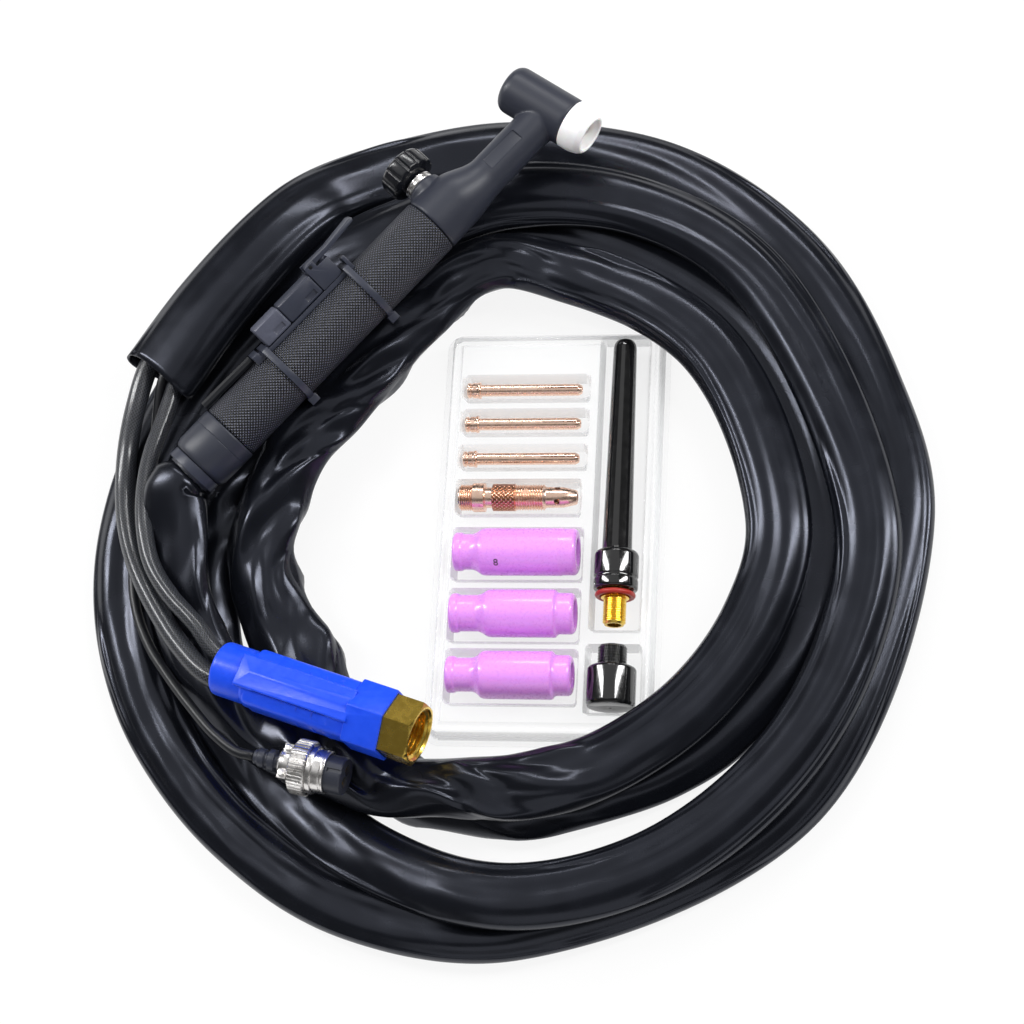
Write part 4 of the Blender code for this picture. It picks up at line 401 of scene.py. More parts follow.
POWER_D, GAS_D, CABLE_D = 0.0092, 0.0076, 0.0045
HOSE_STOP = 0.0292
connector_reach = 0.0092
power_side, gas_side = POWER_D / 2 - connector_reach, connector_reach - GAS_D / 2
power_route = hose_start(-0.0078) + from_table((
    (-165.0, 50.0, 23.5), (-168.5, 33.0, 20.5), (-169.0, 16.0, 20.0), (-166.8, -1.0, 22.5),
    (-162.0, -18.0, 25.8), (-154.5, -34.5, 30.0), (-145.5, -50.0, 33.5), (-135.5, -64.5, 36.8)))
gas_route = hose_start(0.0086) + from_table((
    (-150.5, 43.0, 26.5), (-155.0, 26.0, 28.5), (-156.3, 8.0, 31.5), (-154.5, -10.0, 34.5),
    (-150.0, -27.0, 36.5), (-140.5, -42.5, 39.2), (-128.0, -56.5, 41.0)))
cable_route = hose_start(0.0010) + from_table((
    (-157.0, 42.0, 17.8), (-158.5, 25.0, 14.8), (-160.0, 8.0, 14.5), (-163.0, -8.0, 14.5),
    (-165.0, -24.0, 14.5), (-162.0, -42.0, 16.0), (-154.5, -59.0, 19.0), (-144.0, -74.0, 24.0),
    (-132.0, -89.0, 29.5), (-119.5, -103.0, 34.0)))
for share in (-0.004, HOSE_STOP * 0.5, HOSE_STOP - 0.0003):
    power_route.append(tuple(CONNECTOR @ Vector((share, power_side, 0))))
    gas_route.append(tuple(CONNECTOR @ Vector((share, gas_side, 0))))
for share in (-0.008, -0.003, -0.0003):
    cable_route.append(tuple(PLUG @ Vector((share, 0, 0))))


def braid(name, strand_mm, radius):
    """Extruded clear PVC over crossing yarns, drawn 1.5 mm apart, which is coarser than real: their lighter tone
    is partly the braid's own colour and partly painted glints.
    """
    made, tree, shader = finish(name, "#101115", 0.32, IOR=1.5, Coat_Weight=0.3, Coat_Roughness=0.12)
    place = add(tree, "ShaderNodeTexCoord")
    parts = add(tree, "ShaderNodeSeparateXYZ", {"Vector": place.outputs["UV"]})
    turns = round(math.tau * radius * 1000 / strand_mm)
    scale = turns / (math.tau * radius)
    bands = []
    for sign in (1.0, -1.0):
        lean = add(tree, "ShaderNodeMath", {0: parts.outputs["X"], 1: sign * scale * 0.9}, operation="MULTIPLY")
        wound = add(tree, "ShaderNodeMath", {0: parts.outputs["Y"], 1: scale, 2: lean.outputs[0]},
                    operation="MULTIPLY_ADD")
        swing = add(tree, "ShaderNodeMath", {0: wound.outputs[0], 1: math.tau}, operation="MULTIPLY")
        wave = add(tree, "ShaderNodeMath", {0: swing.outputs[0]}, operation="SINE")
        limits = {"Value": wave.outputs[0], "From Min": 0.55, "From Max": 0.9}
        bands.append(add(tree, "ShaderNodeMapRange", limits))
    yarn = add(tree, "ShaderNodeMath", {0: bands[0].outputs[0], 1: bands[1].outputs[0]}, operation="MAXIMUM")
    # Noise breaks the yarns' lighter tone into dots of painted glint.
    glints = add(tree, "ShaderNodeTexNoise", {"Vector": place.outputs["UV"], "Scale": 1500.0, "Detail": 2.0})
    yarn_and_painted_glints = add(tree, "ShaderNodeMath", {0: yarn.outputs[0], 1: glints.outputs["Fac"]}, operation="MULTIPLY")
    tone = add(tree, "ShaderNodeMix", {0: yarn_and_painted_glints.outputs[0], 6: linear("#0b0c10"), 7: linear("#5b5f68")},
               data_type="RGBA")
    tree.links.new(tone.outputs[2], shader.inputs["Base Color"])
    bump = add(tree, "ShaderNodeBump", {"Height": yarn.outputs[0], "Strength": 0.6, "Distance": 0.0001})
    tree.links.new(bump.outputs["Normal"], shader.inputs["Normal"])
    return made


# Extruded rubber: dull and even, quieter than the braided hoses beside it.
cable_rubber = grained("two_core_cable_rubber", "#14161b", 0.40, 0.5, 0.02)
cords = []
for name, node, points, diameter, material in (
        ("power_lead_hose", "power_hose", power_route, POWER_D, braid("braided_power_hose", 1.5, POWER_D / 2)),
        ("gas_lead_hose", "gas_hose", gas_route, GAS_D, braid("braided_gas_hose", 1.5, GAS_D / 2)),
        ("control_lead", "control_cable", cable_route, CABLE_D, cable_rubber)):
    piece, line = tube(name, points, diameter / 2 * 0.985, 28)
    piece.data.materials.append(material)
    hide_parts(node)
    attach(piece, "torch")
    cords.append((piece, line, diameter))


# ------------------------------------------------------------------ torch body
# One rubber moulding over the brass and copper inside: shank, flare, neck and barrel, with the valve's shroud.
# The joins are filleted as the mould leaves them, and the surface is matt with a fine grain.
def soften(points, radius, steps=4, closed=False):
    """Round the corners of a turned profile."""
    count = len(points)
    result = []
    for index, (x, r) in enumerate(points):
        if not closed and index in (0, count - 1):
            result.append((x, r))
            continue
        here = Vector((x, r))
        before, after = Vector(points[index - 1]) - here, Vector(points[(index + 1) % count]) - here
        if before.length < 1e-9 or after.length < 1e-9 or before.angle(-after, 0.0) < math.radians(18):
            result.append((x, r))
            continue
        cut = min(radius, before.length * 0.45, after.length * 0.45)
        start, stop = here + before.normalized() * cut, here + after.normalized() * cut
        for step in range(steps + 1):
            t = step / steps
            spot = start * (1 - t) ** 2 + here * 2 * t * (1 - t) + stop * t ** 2
            result.append((spot.x, spot.y))
    return result


X_AXIS = Matrix.Rotation(math.pi / 2, 4, "Y")


def fresh(name, maker, **settings):
    """A new primitive at the origin, with nothing else selected."""
    bpy.ops.object.select_all(action="DESELECT")
    maker(location=(0, 0, 0), **settings)
    piece = bpy.context.active_object
    piece.name = piece.data.name = name
    return piece


def lathe(name, place, profile, sides=96, hollow=False, soft=0.0003, material=None):
    """A turned piece: a ring, extruded and widened step by step along its axis."""
    if soft:
        profile = soften(profile, soft, closed=hollow)
    piece = fresh(name, bpy.ops.mesh.primitive_circle_add, vertices=sides, radius=profile[0][1])
    bpy.ops.object.mode_set(mode="EDIT")
    bpy.ops.mesh.select_all(action="SELECT")
    bpy.ops.transform.translate(value=(0, 0, profile[0][0]))
    for (x0, r0), (x1, r1) in zip(profile, profile[1:]):
        bpy.ops.mesh.extrude_edges_move(TRANSFORM_OT_translate={"value": (0, 0, x1 - x0)})
        bpy.ops.transform.resize(value=(r1 / r0, r1 / r0, 1.0), center_override=(0, 0, x1))
    bm = bmesh.from_edit_mesh(piece.data)
    bm.verts.ensure_lookup_table()
    ends = [bm.verts[:sides], bm.verts[-sides:]]
    for vert in bm.verts:
        vert.select = False
    bm.select_flush(False)
    for number, end in enumerate(ends):
        if hollow and number:
            break
        for vert in (end if not hollow else ends[0] + ends[1]):
            vert.select = True
        bm.select_flush(True)
        bmesh.update_edit_mesh(piece.data)
        if hollow:
            bpy.ops.mesh.select_mode(type="EDGE")
            bpy.ops.mesh.select_all(action="DESELECT")
            bpy.ops.mesh.select_non_manifold(extend=False, use_wire=False, use_multi_face=False,
                                             use_non_contiguous=False, use_verts=False)
            bpy.ops.mesh.bridge_edge_loops()
            bpy.ops.mesh.select_mode(type="VERT")
        else:
            bpy.ops.mesh.edge_face_add()
            bpy.ops.mesh.select_all(action="DESELECT")
            bm = bmesh.from_edit_mesh(piece.data)
            bm.verts.ensure_lookup_table()
            ends = [bm.verts[:sides], bm.verts[-sides:]]
    bpy.ops.mesh.select_all(action="SELECT")
    bpy.ops.mesh.normals_make_consistent(inside=False)
    bpy.ops.object.mode_set(mode="OBJECT")
    map_turned(piece.data, sides, profile)
    piece.data.transform(place @ X_AXIS)
    smooth_by_angle(piece, 38)
    if material:
        piece.data.materials.append(material)
    return piece


def map_turned(mesh, sides, profile):
    """A map on a turned piece, in metres: along its profile and round its widest ring."""
    runs = [0.0]
    for (x0, r0), (x1, r1) in zip(profile, profile[1:]):
        runs.append(runs[-1] + math.hypot(x1 - x0, r1 - r0))
    widest = max(r for _, r in profile)
    for old in list(mesh.uv_layers):
        mesh.uv_layers.remove(old)
    layer = mesh.uv_layers.new(name="UVMap")
    for face in mesh.polygons:
        angles = [math.atan2(mesh.vertices[v].co.y, mesh.vertices[v].co.x) % math.tau for v in face.vertices]
        wraps = max(angles) - min(angles) > math.pi and len(angles) == 4
        for loop, vert, angle in zip(face.loop_indices, face.vertices, angles):
            if wraps and angle < math.pi:
                angle += math.tau
            layer.data[loop].uv = (runs[min(vert // sides, len(runs) - 1)], angle * widest)


def shape_with(piece, tool, operation="DIFFERENCE"):
    """Cut with, or join, another shape, which is used up."""
    step = piece.modifiers.new("shape", "BOOLEAN")
    step.operation = operation
    step.solver = "EXACT"
    step.object = tool
    bpy.context.view_layer.objects.active = piece
    bpy.ops.object.modifier_apply(modifier=step.name)
    bpy.data.objects.remove(tool, do_unlink=True)
    return piece


def smooth_by_angle(piece, degrees):
    """Smooth shading, but for edges sharper than this."""
    bpy.ops.object.select_all(action="DESELECT")
    piece.select_set(True)
    bpy.context.view_layer.objects.active = piece
    bpy.ops.object.shade_smooth_by_angle(angle=math.radians(degrees))


def set_down(piece, body, slot_name, *nodes):
    """Hang a piece on the body it moves with and hide the solids it stands for; the slot name is not used."""
    if nodes:
        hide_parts(*nodes)
    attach(piece, body)
    return piece


GRIP_LENGTH = 0.1253
GRIP_R = 0.0133
NECK_R, NECK_SIDE = 0.0090, -0.0024
HEAD_X = GRIP_LENGTH + 0.0727
HEAD = TORCH @ Matrix.Translation((HEAD_X, NECK_SIDE, 0)) @ Matrix.Rotation(math.radians(-81.0), 4, "Z")
VALVE_X = GRIP_LENGTH + 0.0100
VALVE = TORCH @ Matrix.Translation((VALVE_X, 0, 0)) @ Matrix.Rotation(math.radians(90.0), 4, "Z")
shoulder = GRIP_LENGTH + 0.0003
flare = [(GRIP_LENGTH - 0.0120, 0.0105), (shoulder - 0.0001, 0.0105), (shoulder, 0.0127),
         (shoulder + 0.0006, 0.0133), (shoulder + 0.0060, 0.0132), (shoulder + 0.0150, 0.0130)]
for step in range(1, 15):
    share = step / 14
    ease = share * share * (3 - 2 * share)
    flare.append((shoulder + 0.0150 + 0.0185 * share, 0.0130 + (NECK_R - 0.0130) * ease))
flare.append((HEAD_X, NECK_R))
body = lathe("torch_moulding", Matrix.Identity(4), flare, 96, soft=0)
for vert in body.data.vertices:
    share = min(1.0, max(0.0, (vert.co.x - shoulder - 0.0160) / 0.0170))
    vert.co.y += NECK_SIDE * share * share * (3 - 2 * share)
body.data.transform(TORCH)
barrel_steps = [(-0.0223, 0.0074)]
for angle in (15, 30, 45, 60, 75, 90):
    arc = math.radians(angle)
    barrel_steps.append((-0.0223 + 0.0042 * (1 - math.cos(arc)), 0.0110 - 0.0036 * (1 - math.sin(arc))))
barrel_steps += [(-0.004, 0.0110), (0.0105, 0.0110), (0.0112, 0.0105)]
shape_with(body, lathe("barrel_form", HEAD, barrel_steps, 96, soft=0), "UNION")
shroud = lathe("shroud_form", VALVE, [(0.0, 0.0086), (0.0142, 0.0086), (0.0150, 0.0078)], 80, soft=0.0004)
shape_with(body, shroud, "UNION")
remesh = body.modifiers.new("mould", "REMESH")
remesh.mode = "VOXEL"
remesh.voxel_size = 0.00042
bpy.context.view_layer.objects.active = body
bpy.ops.object.modifier_apply(modifier="mould")
ease_joins = body.modifiers.new("fillet", "SMOOTH")
ease_joins.factor = 0.5
ease_joins.iterations = 16
bpy.ops.object.modifier_apply(modifier="fillet")
bore = lathe("bore_form", HEAD, [(-0.0300, 0.0073), (0.0072, 0.0073), (0.0072, 0.0087), (0.0300, 0.0087)],
             72, soft=0)
shape_with(body, bore)
hollow = lathe("hollow_form", TORCH, [(GRIP_LENGTH - 0.03, 0.0081), (VALVE_X + 0.0118, 0.0081)], 48, soft=0)
shape_with(body, hollow)
tube_way = lathe("tube_way_form", TORCH @ Matrix.Translation((0, NECK_SIDE, 0)),
                 [(VALVE_X + 0.0115, 0.0033), (HEAD_X, 0.0033)], 48, soft=0)
shape_with(body, tube_way)
shape_with(body, lathe("valve_bore_form", VALVE, [(0.0, 0.0061), (0.03, 0.0061)], 48, soft=0))


def block(name, place, low, high, bevel=0.0):
    """A block cut to size and bevelled, its place in its mesh."""
    piece = fresh(name, bpy.ops.mesh.primitive_cube_add, size=1.0)
    size = [high[i] - low[i] for i in range(3)]
    middle = [(high[i] + low[i]) / 2 for i in range(3)]
    bpy.ops.object.mode_set(mode="EDIT")
    bpy.ops.mesh.select_all(action="SELECT")
    bpy.ops.transform.resize(value=size, center_override=(0, 0, 0))
    if bevel:
        bpy.ops.mesh.bevel(offset=bevel, segments=3, profile=0.5, affect="EDGES")
    bpy.ops.mesh.select_all(action="SELECT")
    bpy.ops.transform.translate(value=middle)
    bpy.ops.object.mode_set(mode="OBJECT")
    piece.data.transform(place)
    smooth_by_angle(piece, 40)
    return piece


PLATE_X = GRIP_LENGTH + 0.0446
plate = block("plate_form", TORCH @ Matrix.Translation((0, NECK_SIDE, 0)),
              (PLATE_X - 0.0095, -0.00335, 0.00805), (PLATE_X + 0.0095, 0.00335, 0.0140), 0.0008)
shape_with(body, plate)
smooth_by_angle(body, 42)
# Rubber from a spark-eroded mould: matt charcoal whose grain spreads the light wide.
moulded_rubber = grained("moulded_black_rubber", "#2b2e39", 0.42, 0.5, 0.02, ("#282b35", "#2f323e"),
                         (0.36, 0.50), 4.0, IOR=1.5)
coat(body, moulded_rubber)
set_down(body, "torch", "rubber_black", "torch_body")

# ------------------------------------------------------------------ head: insulator and metal insert
# White fluoroplastic ring at the front of the barrel, against which a nozzle seats.
# Behind it the turned brass insert carries the collet body's thread.

# Turned fluoroplastic: waxy white that glows a little from under its surface.
white_ptfe = grained("turned_white_fluoroplastic", "#f6f6f5", 0.36, 0.9, 0.012, ("#f3f3f2", "#fafafa"),
                     (0.32, 0.42), 3.0, IOR=1.38, Subsurface_Weight=0.15, Subsurface_Scale=0.002)
cup = lathe("cup_insulator_ring", HEAD, [
    (0.0075, 0.00725), (0.0075, 0.0084), (0.0115, 0.0084), (0.0115, 0.0110), (0.0160, 0.0110),
    (0.0170, 0.01085), (0.0198, 0.0102), (0.0214, 0.0092), (0.0221, 0.0085), (0.0221, 0.0075),
    (0.0216, 0.00725)], 96, True, 0.0003, white_ptfe)
set_down(cup, "torch", "insulator_white", "cup_insulator")
# Brass turned from bar: warm yellow metal with long soft streaks of light.
turned_brass = grained("turned_brass", "#f4cd5c", 0.26, 2.5, 0.0003, ("#f2cb58", "#f6d162"),
                       (0.25, 0.28), 0.0, metallic=1.0)
# Drawn and faced copper: pale pink metal, with a gloss that varies a little along it.
drawn_copper = grained("drawn_copper", "#fbd8c2", 0.26, 2.5, 0.0003, ("#f8d0b8", "#fddfcd"),
                       (0.22, 0.32), 0.0, metallic=1.0)


def thread(start, stop, pitch, crest, root):
    """Crests and roots of a thread, as rings."""
    turns = max(1, round((stop - start) / pitch))
    step = (stop - start) / turns
    rows = []
    for turn_number in range(turns):
        x = start + step * turn_number
        rows += [(x, root), (x + step * 0.42, crest), (x + step * 0.58, crest)]
    return rows + [(stop, root)]


insert_rear = -0.0223 + 0.0085
insert_rows = [(insert_rear, 0.0056), (insert_rear, 0.0070), (0.0069, 0.0070), (0.0069, 0.0056)]
insert_rows += reversed(thread(insert_rear + 0.0006, 0.0063, 0.0011, 0.0050, 0.0056))
insert = lathe("head_brass_insert", HEAD, insert_rows, 64, True, 0, turned_brass)
set_down(insert, "torch", "brass", "head_insert")
for node in ("valve_block", "hose_joint_nut", "hose_manifold", "plug_contact_left", "plug_contact_right"):
    coat(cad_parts[node], turned_brass)
for node in ("neck_tube", "hose_crimp", "power_ferrule", "gas_ferrule"):
    coat(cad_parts[node], drawn_copper)

# ------------------------------------------------------------------ gas valve
# Bright plated collar and spindle with a fluted phenolic knob pressed on it.
# The knob is compression moulded, so its ribs are rounded and glossy.

# Nickel plated over polished metal: a cool mirror that the plating softens.
bright_nickel = grained("bright_nickel_plate", "#e9e6e4", 0.27, 3.0, 0.0003, ("#e4e1df", "#eeecea"),
                        (0.23, 0.32), 0.0, metallic=1.0)
collar = lathe("valve_bright_collar", VALVE, [
    (0.0153, 0.0026), (0.0153, 0.0066), (0.0158, 0.0070), (0.0168, 0.0070), (0.0170, 0.0065), (0.0174, 0.0065),
    (0.0176, 0.0070), (0.0184, 0.0070), (0.0189, 0.0062), (0.0189, 0.0026)], 72, True, 0.0002, bright_nickel)
set_down(collar, "torch", "nickel", "valve_collar")
stem = lathe("valve_spindle", VALVE, [(0.0060, 0.0008), (0.0076, 0.0024), (0.0193, 0.0024)],
             48, False, 0.0002, bright_nickel)
set_down(stem, "spindle", "nickel", "valve_stem")
KNOB_BACK, KNOB_THICK, KNOB_R = 0.0196, 0.0108, 0.0114
# Compression-moulded phenolic: hard and near black, with small sharp highlights on its ribs.
phenolic = grained("moulded_black_phenolic", "#121318", 0.20, 2.0, 0.01, ("#101116", "#16181d"),
                   (0.15, 0.26), 1.0, IOR=1.6)
knob = lathe("fluted_valve_knob", VALVE, [
    (KNOB_BACK, 0.0066), (KNOB_BACK + 0.0016, KNOB_R - 0.0002), (KNOB_BACK + 0.0026, KNOB_R + 0.0001),
    (KNOB_BACK + KNOB_THICK - 0.0016, KNOB_R + 0.0001), (KNOB_BACK + KNOB_THICK - 0.0004, KNOB_R - 0.0008),
    (KNOB_BACK + KNOB_THICK, KNOB_R - 0.0022), (KNOB_BACK + KNOB_THICK - 0.0003, 0.0060),
    (KNOB_BACK + KNOB_THICK - 0.0006, 0.0030)], 120, False, 0.0004)
FLUTES, FLUTE_R = 12, 0.0013
for flute in range(FLUTES):
    turned = VALVE @ Matrix.Rotation(math.tau * (flute + 0.07) / FLUTES, 4, "X")
    place = turned @ Matrix.Translation((0, KNOB_R + 0.0004, 0))
    cutter = lathe("flute_form", place, [(KNOB_BACK - 0.001, FLUTE_R), (KNOB_BACK + 0.013, FLUTE_R)],
                   20, soft=0)
    shape_with(knob, cutter)
smooth_by_angle(knob, 40)
coat(knob, phenolic)
set_down(knob, "knob", "knob_black", "valve_knob")

# ------------------------------------------------------------------ handle
# Plastic tube with a fine diamond knurl rolled into it, over the hose joint.
# A smooth rubber boot closes its rear end, tied down onto the lead's cover.

# Plastic with rolled-in diamonds: painted shade darkens the grooves and painted highlights grey the tips, so the
# tube looks dry and rough.
knurled, tree, shader = finish("knurled_black_plastic", "#1b1d24", 0.40)


def knurl(tree, shader, count, radius, depth_mm, colours):
    """Diamonds cut by two spiral rows of grooves, so many round a piece of this radius; the grooves are painted
    dark as shade and the tips light as painted highlights.
    """
    place = add(tree, "ShaderNodeTexCoord")
    parts = add(tree, "ShaderNodeSeparateXYZ", {"Vector": place.outputs["UV"]})
    scale = count / math.tau / radius
    cuts = []
    for sign in (1.0, -1.0):
        lean = add(tree, "ShaderNodeMath", {0: parts.outputs["X"], 1: sign * scale}, operation="MULTIPLY")
        wound = add(tree, "ShaderNodeMath", {0: parts.outputs["Y"], 1: scale, 2: lean.outputs[0]},
                    operation="MULTIPLY_ADD")
        cuts.append(add(tree, "ShaderNodeMath", {0: wound.outputs[0], 1: 1.0}, operation="PINGPONG"))
    tip = add(tree, "ShaderNodeMath", {0: cuts[0].outputs[0], 1: cuts[1].outputs[0]}, operation="MULTIPLY")
    # Painted highlight on the diamond tips, painted shade in the grooves.
    lit = add(tree, "ShaderNodeMapRange", {"Value": tip.outputs[0], "From Min": 0.30, "From Max": 0.80})
    tone = add(tree, "ShaderNodeMix", {0: lit.outputs[0], 6: linear(colours[0]), 7: linear(colours[1])},
               data_type="RGBA")
    tree.links.new(tone.outputs[2], shader.inputs["Base Color"])
    bump = add(tree, "ShaderNodeBump", {"Height": tip.outputs[0], "Strength": 1.0, "Distance": depth_mm / 1000})
    tree.links.new(bump.outputs["Normal"], shader.inputs["Normal"])


knurl(tree, shader, 98, GRIP_R, 0.40, ("#050608", "#73778a"))
grip = lathe("knurled_grip", TORCH, [
    (-0.0090, 0.0093), (-0.0090, 0.0116), (0.0, 0.0116), (0.0, 0.0129), (0.0005, 0.0133),
    (GRIP_LENGTH - 0.0005, 0.0133), (GRIP_LENGTH, 0.0129), (GRIP_LENGTH, 0.0108), (0.004, 0.0108),
    (0.0, 0.0093)], 96, True, 0.0003, knurled)
set_down(grip, "torch", "grip_plastic", "handle_grip")
boot = lathe("rear_rubber_boot", TORCH, [
    (-0.0003, 0.0119), (-0.0003, 0.0134), (-0.0009, 0.0138), (-0.0060, 0.0138), (-0.0062, 0.0136),
    (-0.0064, 0.0138), (-0.0168, 0.0137), (-0.0190, 0.0130), (-0.0200, 0.0120), (-0.0200, 0.0102),
    (-0.0260, 0.0102), (-0.0260, 0.0062), (-0.0093, 0.0062), (-0.0093, 0.0119)],
             96, True, 0.0004, moulded_rubber)
set_down(boot, "torch", "rubber_black", "rear_boot")
# Injection-moulded nylon: a shade lighter and glossier than the rubber it sits on.
nylon_black = grained("moulded_black_nylon", "#2f323f", 0.38, 0.5, 0.02, ("#2c2f3b", "#343846"),
                      (0.32, 0.44), 3.0)
tie = lathe("boot_tie_band", TORCH, [
    (-0.0248, 0.0105), (-0.0248, 0.0121), (-0.0203, 0.0121), (-0.0203, 0.0105)],
            72, True, 0.0003, nylon_black)
set_down(tie, "torch", "switch_black", "boot_tie")
coat(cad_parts["handle_hose"], cable_rubber)

# ------------------------------------------------------------------ finger switch
# Two-part nylon switch box on a saddle, with a long sprung lever that presses its button.
# The rear cover is a lighter grey nylon; both snap together through small windows.
def edged(node, name, bevel, material):
    """A copy of a solid with its edges rounded as the mould leaves them."""
    bpy.ops.object.select_all(action="DESELECT")
    piece = bpy.data.objects.new(name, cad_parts[node].data.copy())
    bpy.context.collection.objects.link(piece)
    piece.data.name = name
    piece.select_set(True)
    bpy.context.view_layer.objects.active = piece
    bpy.ops.object.mode_set(mode="EDIT")
    bpy.ops.mesh.select_all(action="SELECT")
    bpy.ops.mesh.remove_doubles(threshold=0.00002)
    bpy.ops.mesh.dissolve_limited(angle_limit=math.radians(2.0))
    bpy.ops.object.mode_set(mode="OBJECT")
    step = piece.modifiers.new("edge", "BEVEL")
    step.width = bevel
    step.segments = 2
    step.limit_method = "ANGLE"
    step.angle_limit = math.radians(30)
    bpy.ops.object.modifier_apply(modifier="edge")
    smooth_by_angle(piece, 35)
    coat(piece, material)
    return piece


# The same nylon, pigmented grey: sets the switch's cover off from its base.
nylon_grey = grained("moulded_grey_nylon", "#4c4e5c", 0.36, 0.7, 0.03, ("#464855", "#545766"),
                     (0.30, 0.44), 3.0)
for node, body_name, bevel, material, slot_name in (
        ("switch_base", "torch", 0.0002, nylon_black, "switch_black"),
        ("switch_cover", "torch", 0.0002, nylon_grey, "switch_grey"),
        ("switch_housing", "torch", 0.0002, nylon_black, "switch_black"),
        ("lever_bracket", "torch", 0.0002, nylon_black, "switch_black"),
        ("switch_lever", "lever", 0.00015, nylon_black, "switch_black"),
        ("switch_button", "button", 0.00015, nylon_grey, "switch_grey"),
        ("tie_front", "torch", 0.00015, nylon_black, "grip_plastic"),
        ("tie_rear", "torch", 0.00015, nylon_black, "grip_plastic")):
    set_down(edged(node, node + "_moulded", bevel, material), body_name, slot_name, node)
# Chemically blackened steel: dark metal with a dull gleam.
blackened_steel = grained("blackened_steel_wire", "#4a4a4e", 0.35, 1.0, 0.002, ("#414145", "#545458"),
                          (0.28, 0.42), 1.0, metallic=1.0)
for node, material in (("lever_pin", blackened_steel), ("switch_lead", cable_rubber)):
    coat(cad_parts[node], material)

# ------------------------------------------------------------------ gas and power connector
# Blue soft PVC grip over a brass union nut, which draws the hose nipple onto the machine's stud.
# The grip is moulded with a ribbed flank and a hexagon that holds the nut.

# Soft moulded PVC: strong blue with broad highlights and edges that look rounded and thick.
blue_pvc = grained("moulded_blue_pvc", "#164ae4", 0.34, 3.0, 0.05, ("#1244dc", "#1b52ee"), (0.28, 0.40), 2.0,
                   IOR=1.42, Subsurface_Weight=0.05, Subsurface_Scale=0.002)
CG_LENGTH = 0.0800
NUT_SEATED = 0.0125


def hexagon_bar(name, place, across_flats, start, stop, bevel=0.0):
    """A six-sided bar along X, a flat upwards."""
    piece = fresh(name, bpy.ops.mesh.primitive_cylinder_add, vertices=6, radius=across_flats / math.sqrt(3.0),
                  depth=stop - start)
    bpy.ops.object.mode_set(mode="EDIT")
    bpy.ops.mesh.select_all(action="SELECT")
    if bevel:
        bpy.ops.mesh.bevel(offset=bevel, segments=3, affect="EDGES")
        bpy.ops.mesh.select_all(action="SELECT")
    bpy.ops.transform.translate(value=(0, 0, (start + stop) / 2))
    bpy.ops.object.mode_set(mode="OBJECT")
    piece.data.transform(place @ X_AXIS)
    return piece


HEX = CONNECTOR @ Matrix.Rotation(math.radians(30), 4, "X")
grip_profile = [(0.0, 0.0101), (0.0006, 0.0111), (0.0016, 0.0115), (0.0135, 0.0115)]
for rib in range(6):
    rib_x = 0.0150 + rib * 0.0072
    grip_profile += [(rib_x, 0.0112), (rib_x + 0.0012, 0.0121), (rib_x + 0.0056, 0.0121 + 0.0002 * rib)]
grip_profile += [(0.0640, 0.0121), (0.0660, 0.0121)]
blue_grip = lathe("blue_connector_grip", CONNECTOR, grip_profile, 96, False, 0.0005)
shape_with(blue_grip, hexagon_bar("hex_form", HEX, 0.0268, 0.0640, CG_LENGTH, 0.0006), "UNION")
shape_with(blue_grip, hexagon_bar("facets_form", HEX, 0.0244, 0.0165, 0.0655, 0.0020), "UNION")
for side in (-1, 1):
    low, high = sorted((side * 0.0060, side * 0.0134))
    panel = block("panel_form", CONNECTOR, (0.0130, -0.0070, low), (0.0655, 0.0070, high), 0.0008)
    shape_with(blue_grip, panel, "UNION")
for turn in (30, 150, 210, 330):
    place = CONNECTOR @ Matrix.Rotation(math.radians(turn), 4, "X")
    shape_with(blue_grip, block("groove_form", place, (0.0220, -0.0004, 0.0124), (0.0560, 0.0004, 0.0160), 0.0))
grip_bore = lathe("grip_bore_form", CONNECTOR, [(-0.01, 0.0098), (CG_LENGTH - NUT_SEATED, 0.0098)], 72, soft=0)
shape_with(blue_grip, grip_bore)
shape_with(blue_grip, hexagon_bar("nut_pocket_form", HEX, 0.0246,
                                  CG_LENGTH - NUT_SEATED - 0.0003, CG_LENGTH + 0.01))
smooth_by_angle(blue_grip, 35)
coat(blue_grip, blue_pvc)
set_down(blue_grip, "union_nut", "connector_blue", "connector_grip")

nut_rear = CG_LENGTH - NUT_SEATED
nut_front = nut_rear + 0.0250
NUT_FLATS = 0.0240
nut = hexagon_bar("brass_union_nut", HEX, NUT_FLATS, nut_rear, nut_front)
corner = NUT_FLATS / math.sqrt(3.0)
nut_form = lathe("nut_form", CONNECTOR, [
    (nut_rear - 0.001, corner + 0.0005), (nut_front - 0.0010, corner + 0.0003),
    (nut_front, 0.0118), (nut_front + 0.001, 0.0118)], 96, soft=0)
shape_with(nut, nut_form, "INTERSECT")
bore_rows = ([(nut_rear - 0.01, 0.0051), (nut_rear + 0.0035, 0.0051), (nut_rear + 0.0035, 0.0102)]
             + thread(nut_rear + 0.0050, nut_front - 0.0012, 0.0018, 0.0093, 0.0104)
             + [(nut_front - 0.0009, 0.0104), (nut_front + 0.0002, 0.0112)])
shape_with(nut, lathe("nut_bore_form", CONNECTOR, bore_rows, 96, soft=0))
smooth_by_angle(nut, 32)
coat(nut, turned_brass)
set_down(nut, "union_nut", "brass", "connector_nut")
nipple_x = nut_rear + 0.0036
nipple = lathe("hose_nipple_turned", CONNECTOR, [
    (nut_rear - 0.0062, 0.0022), (nut_rear - 0.0062, 0.0050), (nipple_x, 0.0050), (nipple_x, 0.0084),
    (nipple_x + 0.0040, 0.0084), (nipple_x + 0.0067, 0.0060), (nipple_x + 0.0085, 0.0030),
    (nipple_x + 0.0085, 0.0022)], 64, True, 0.0003, turned_brass)
set_down(nipple, "torch", "brass", "hose_nipple")

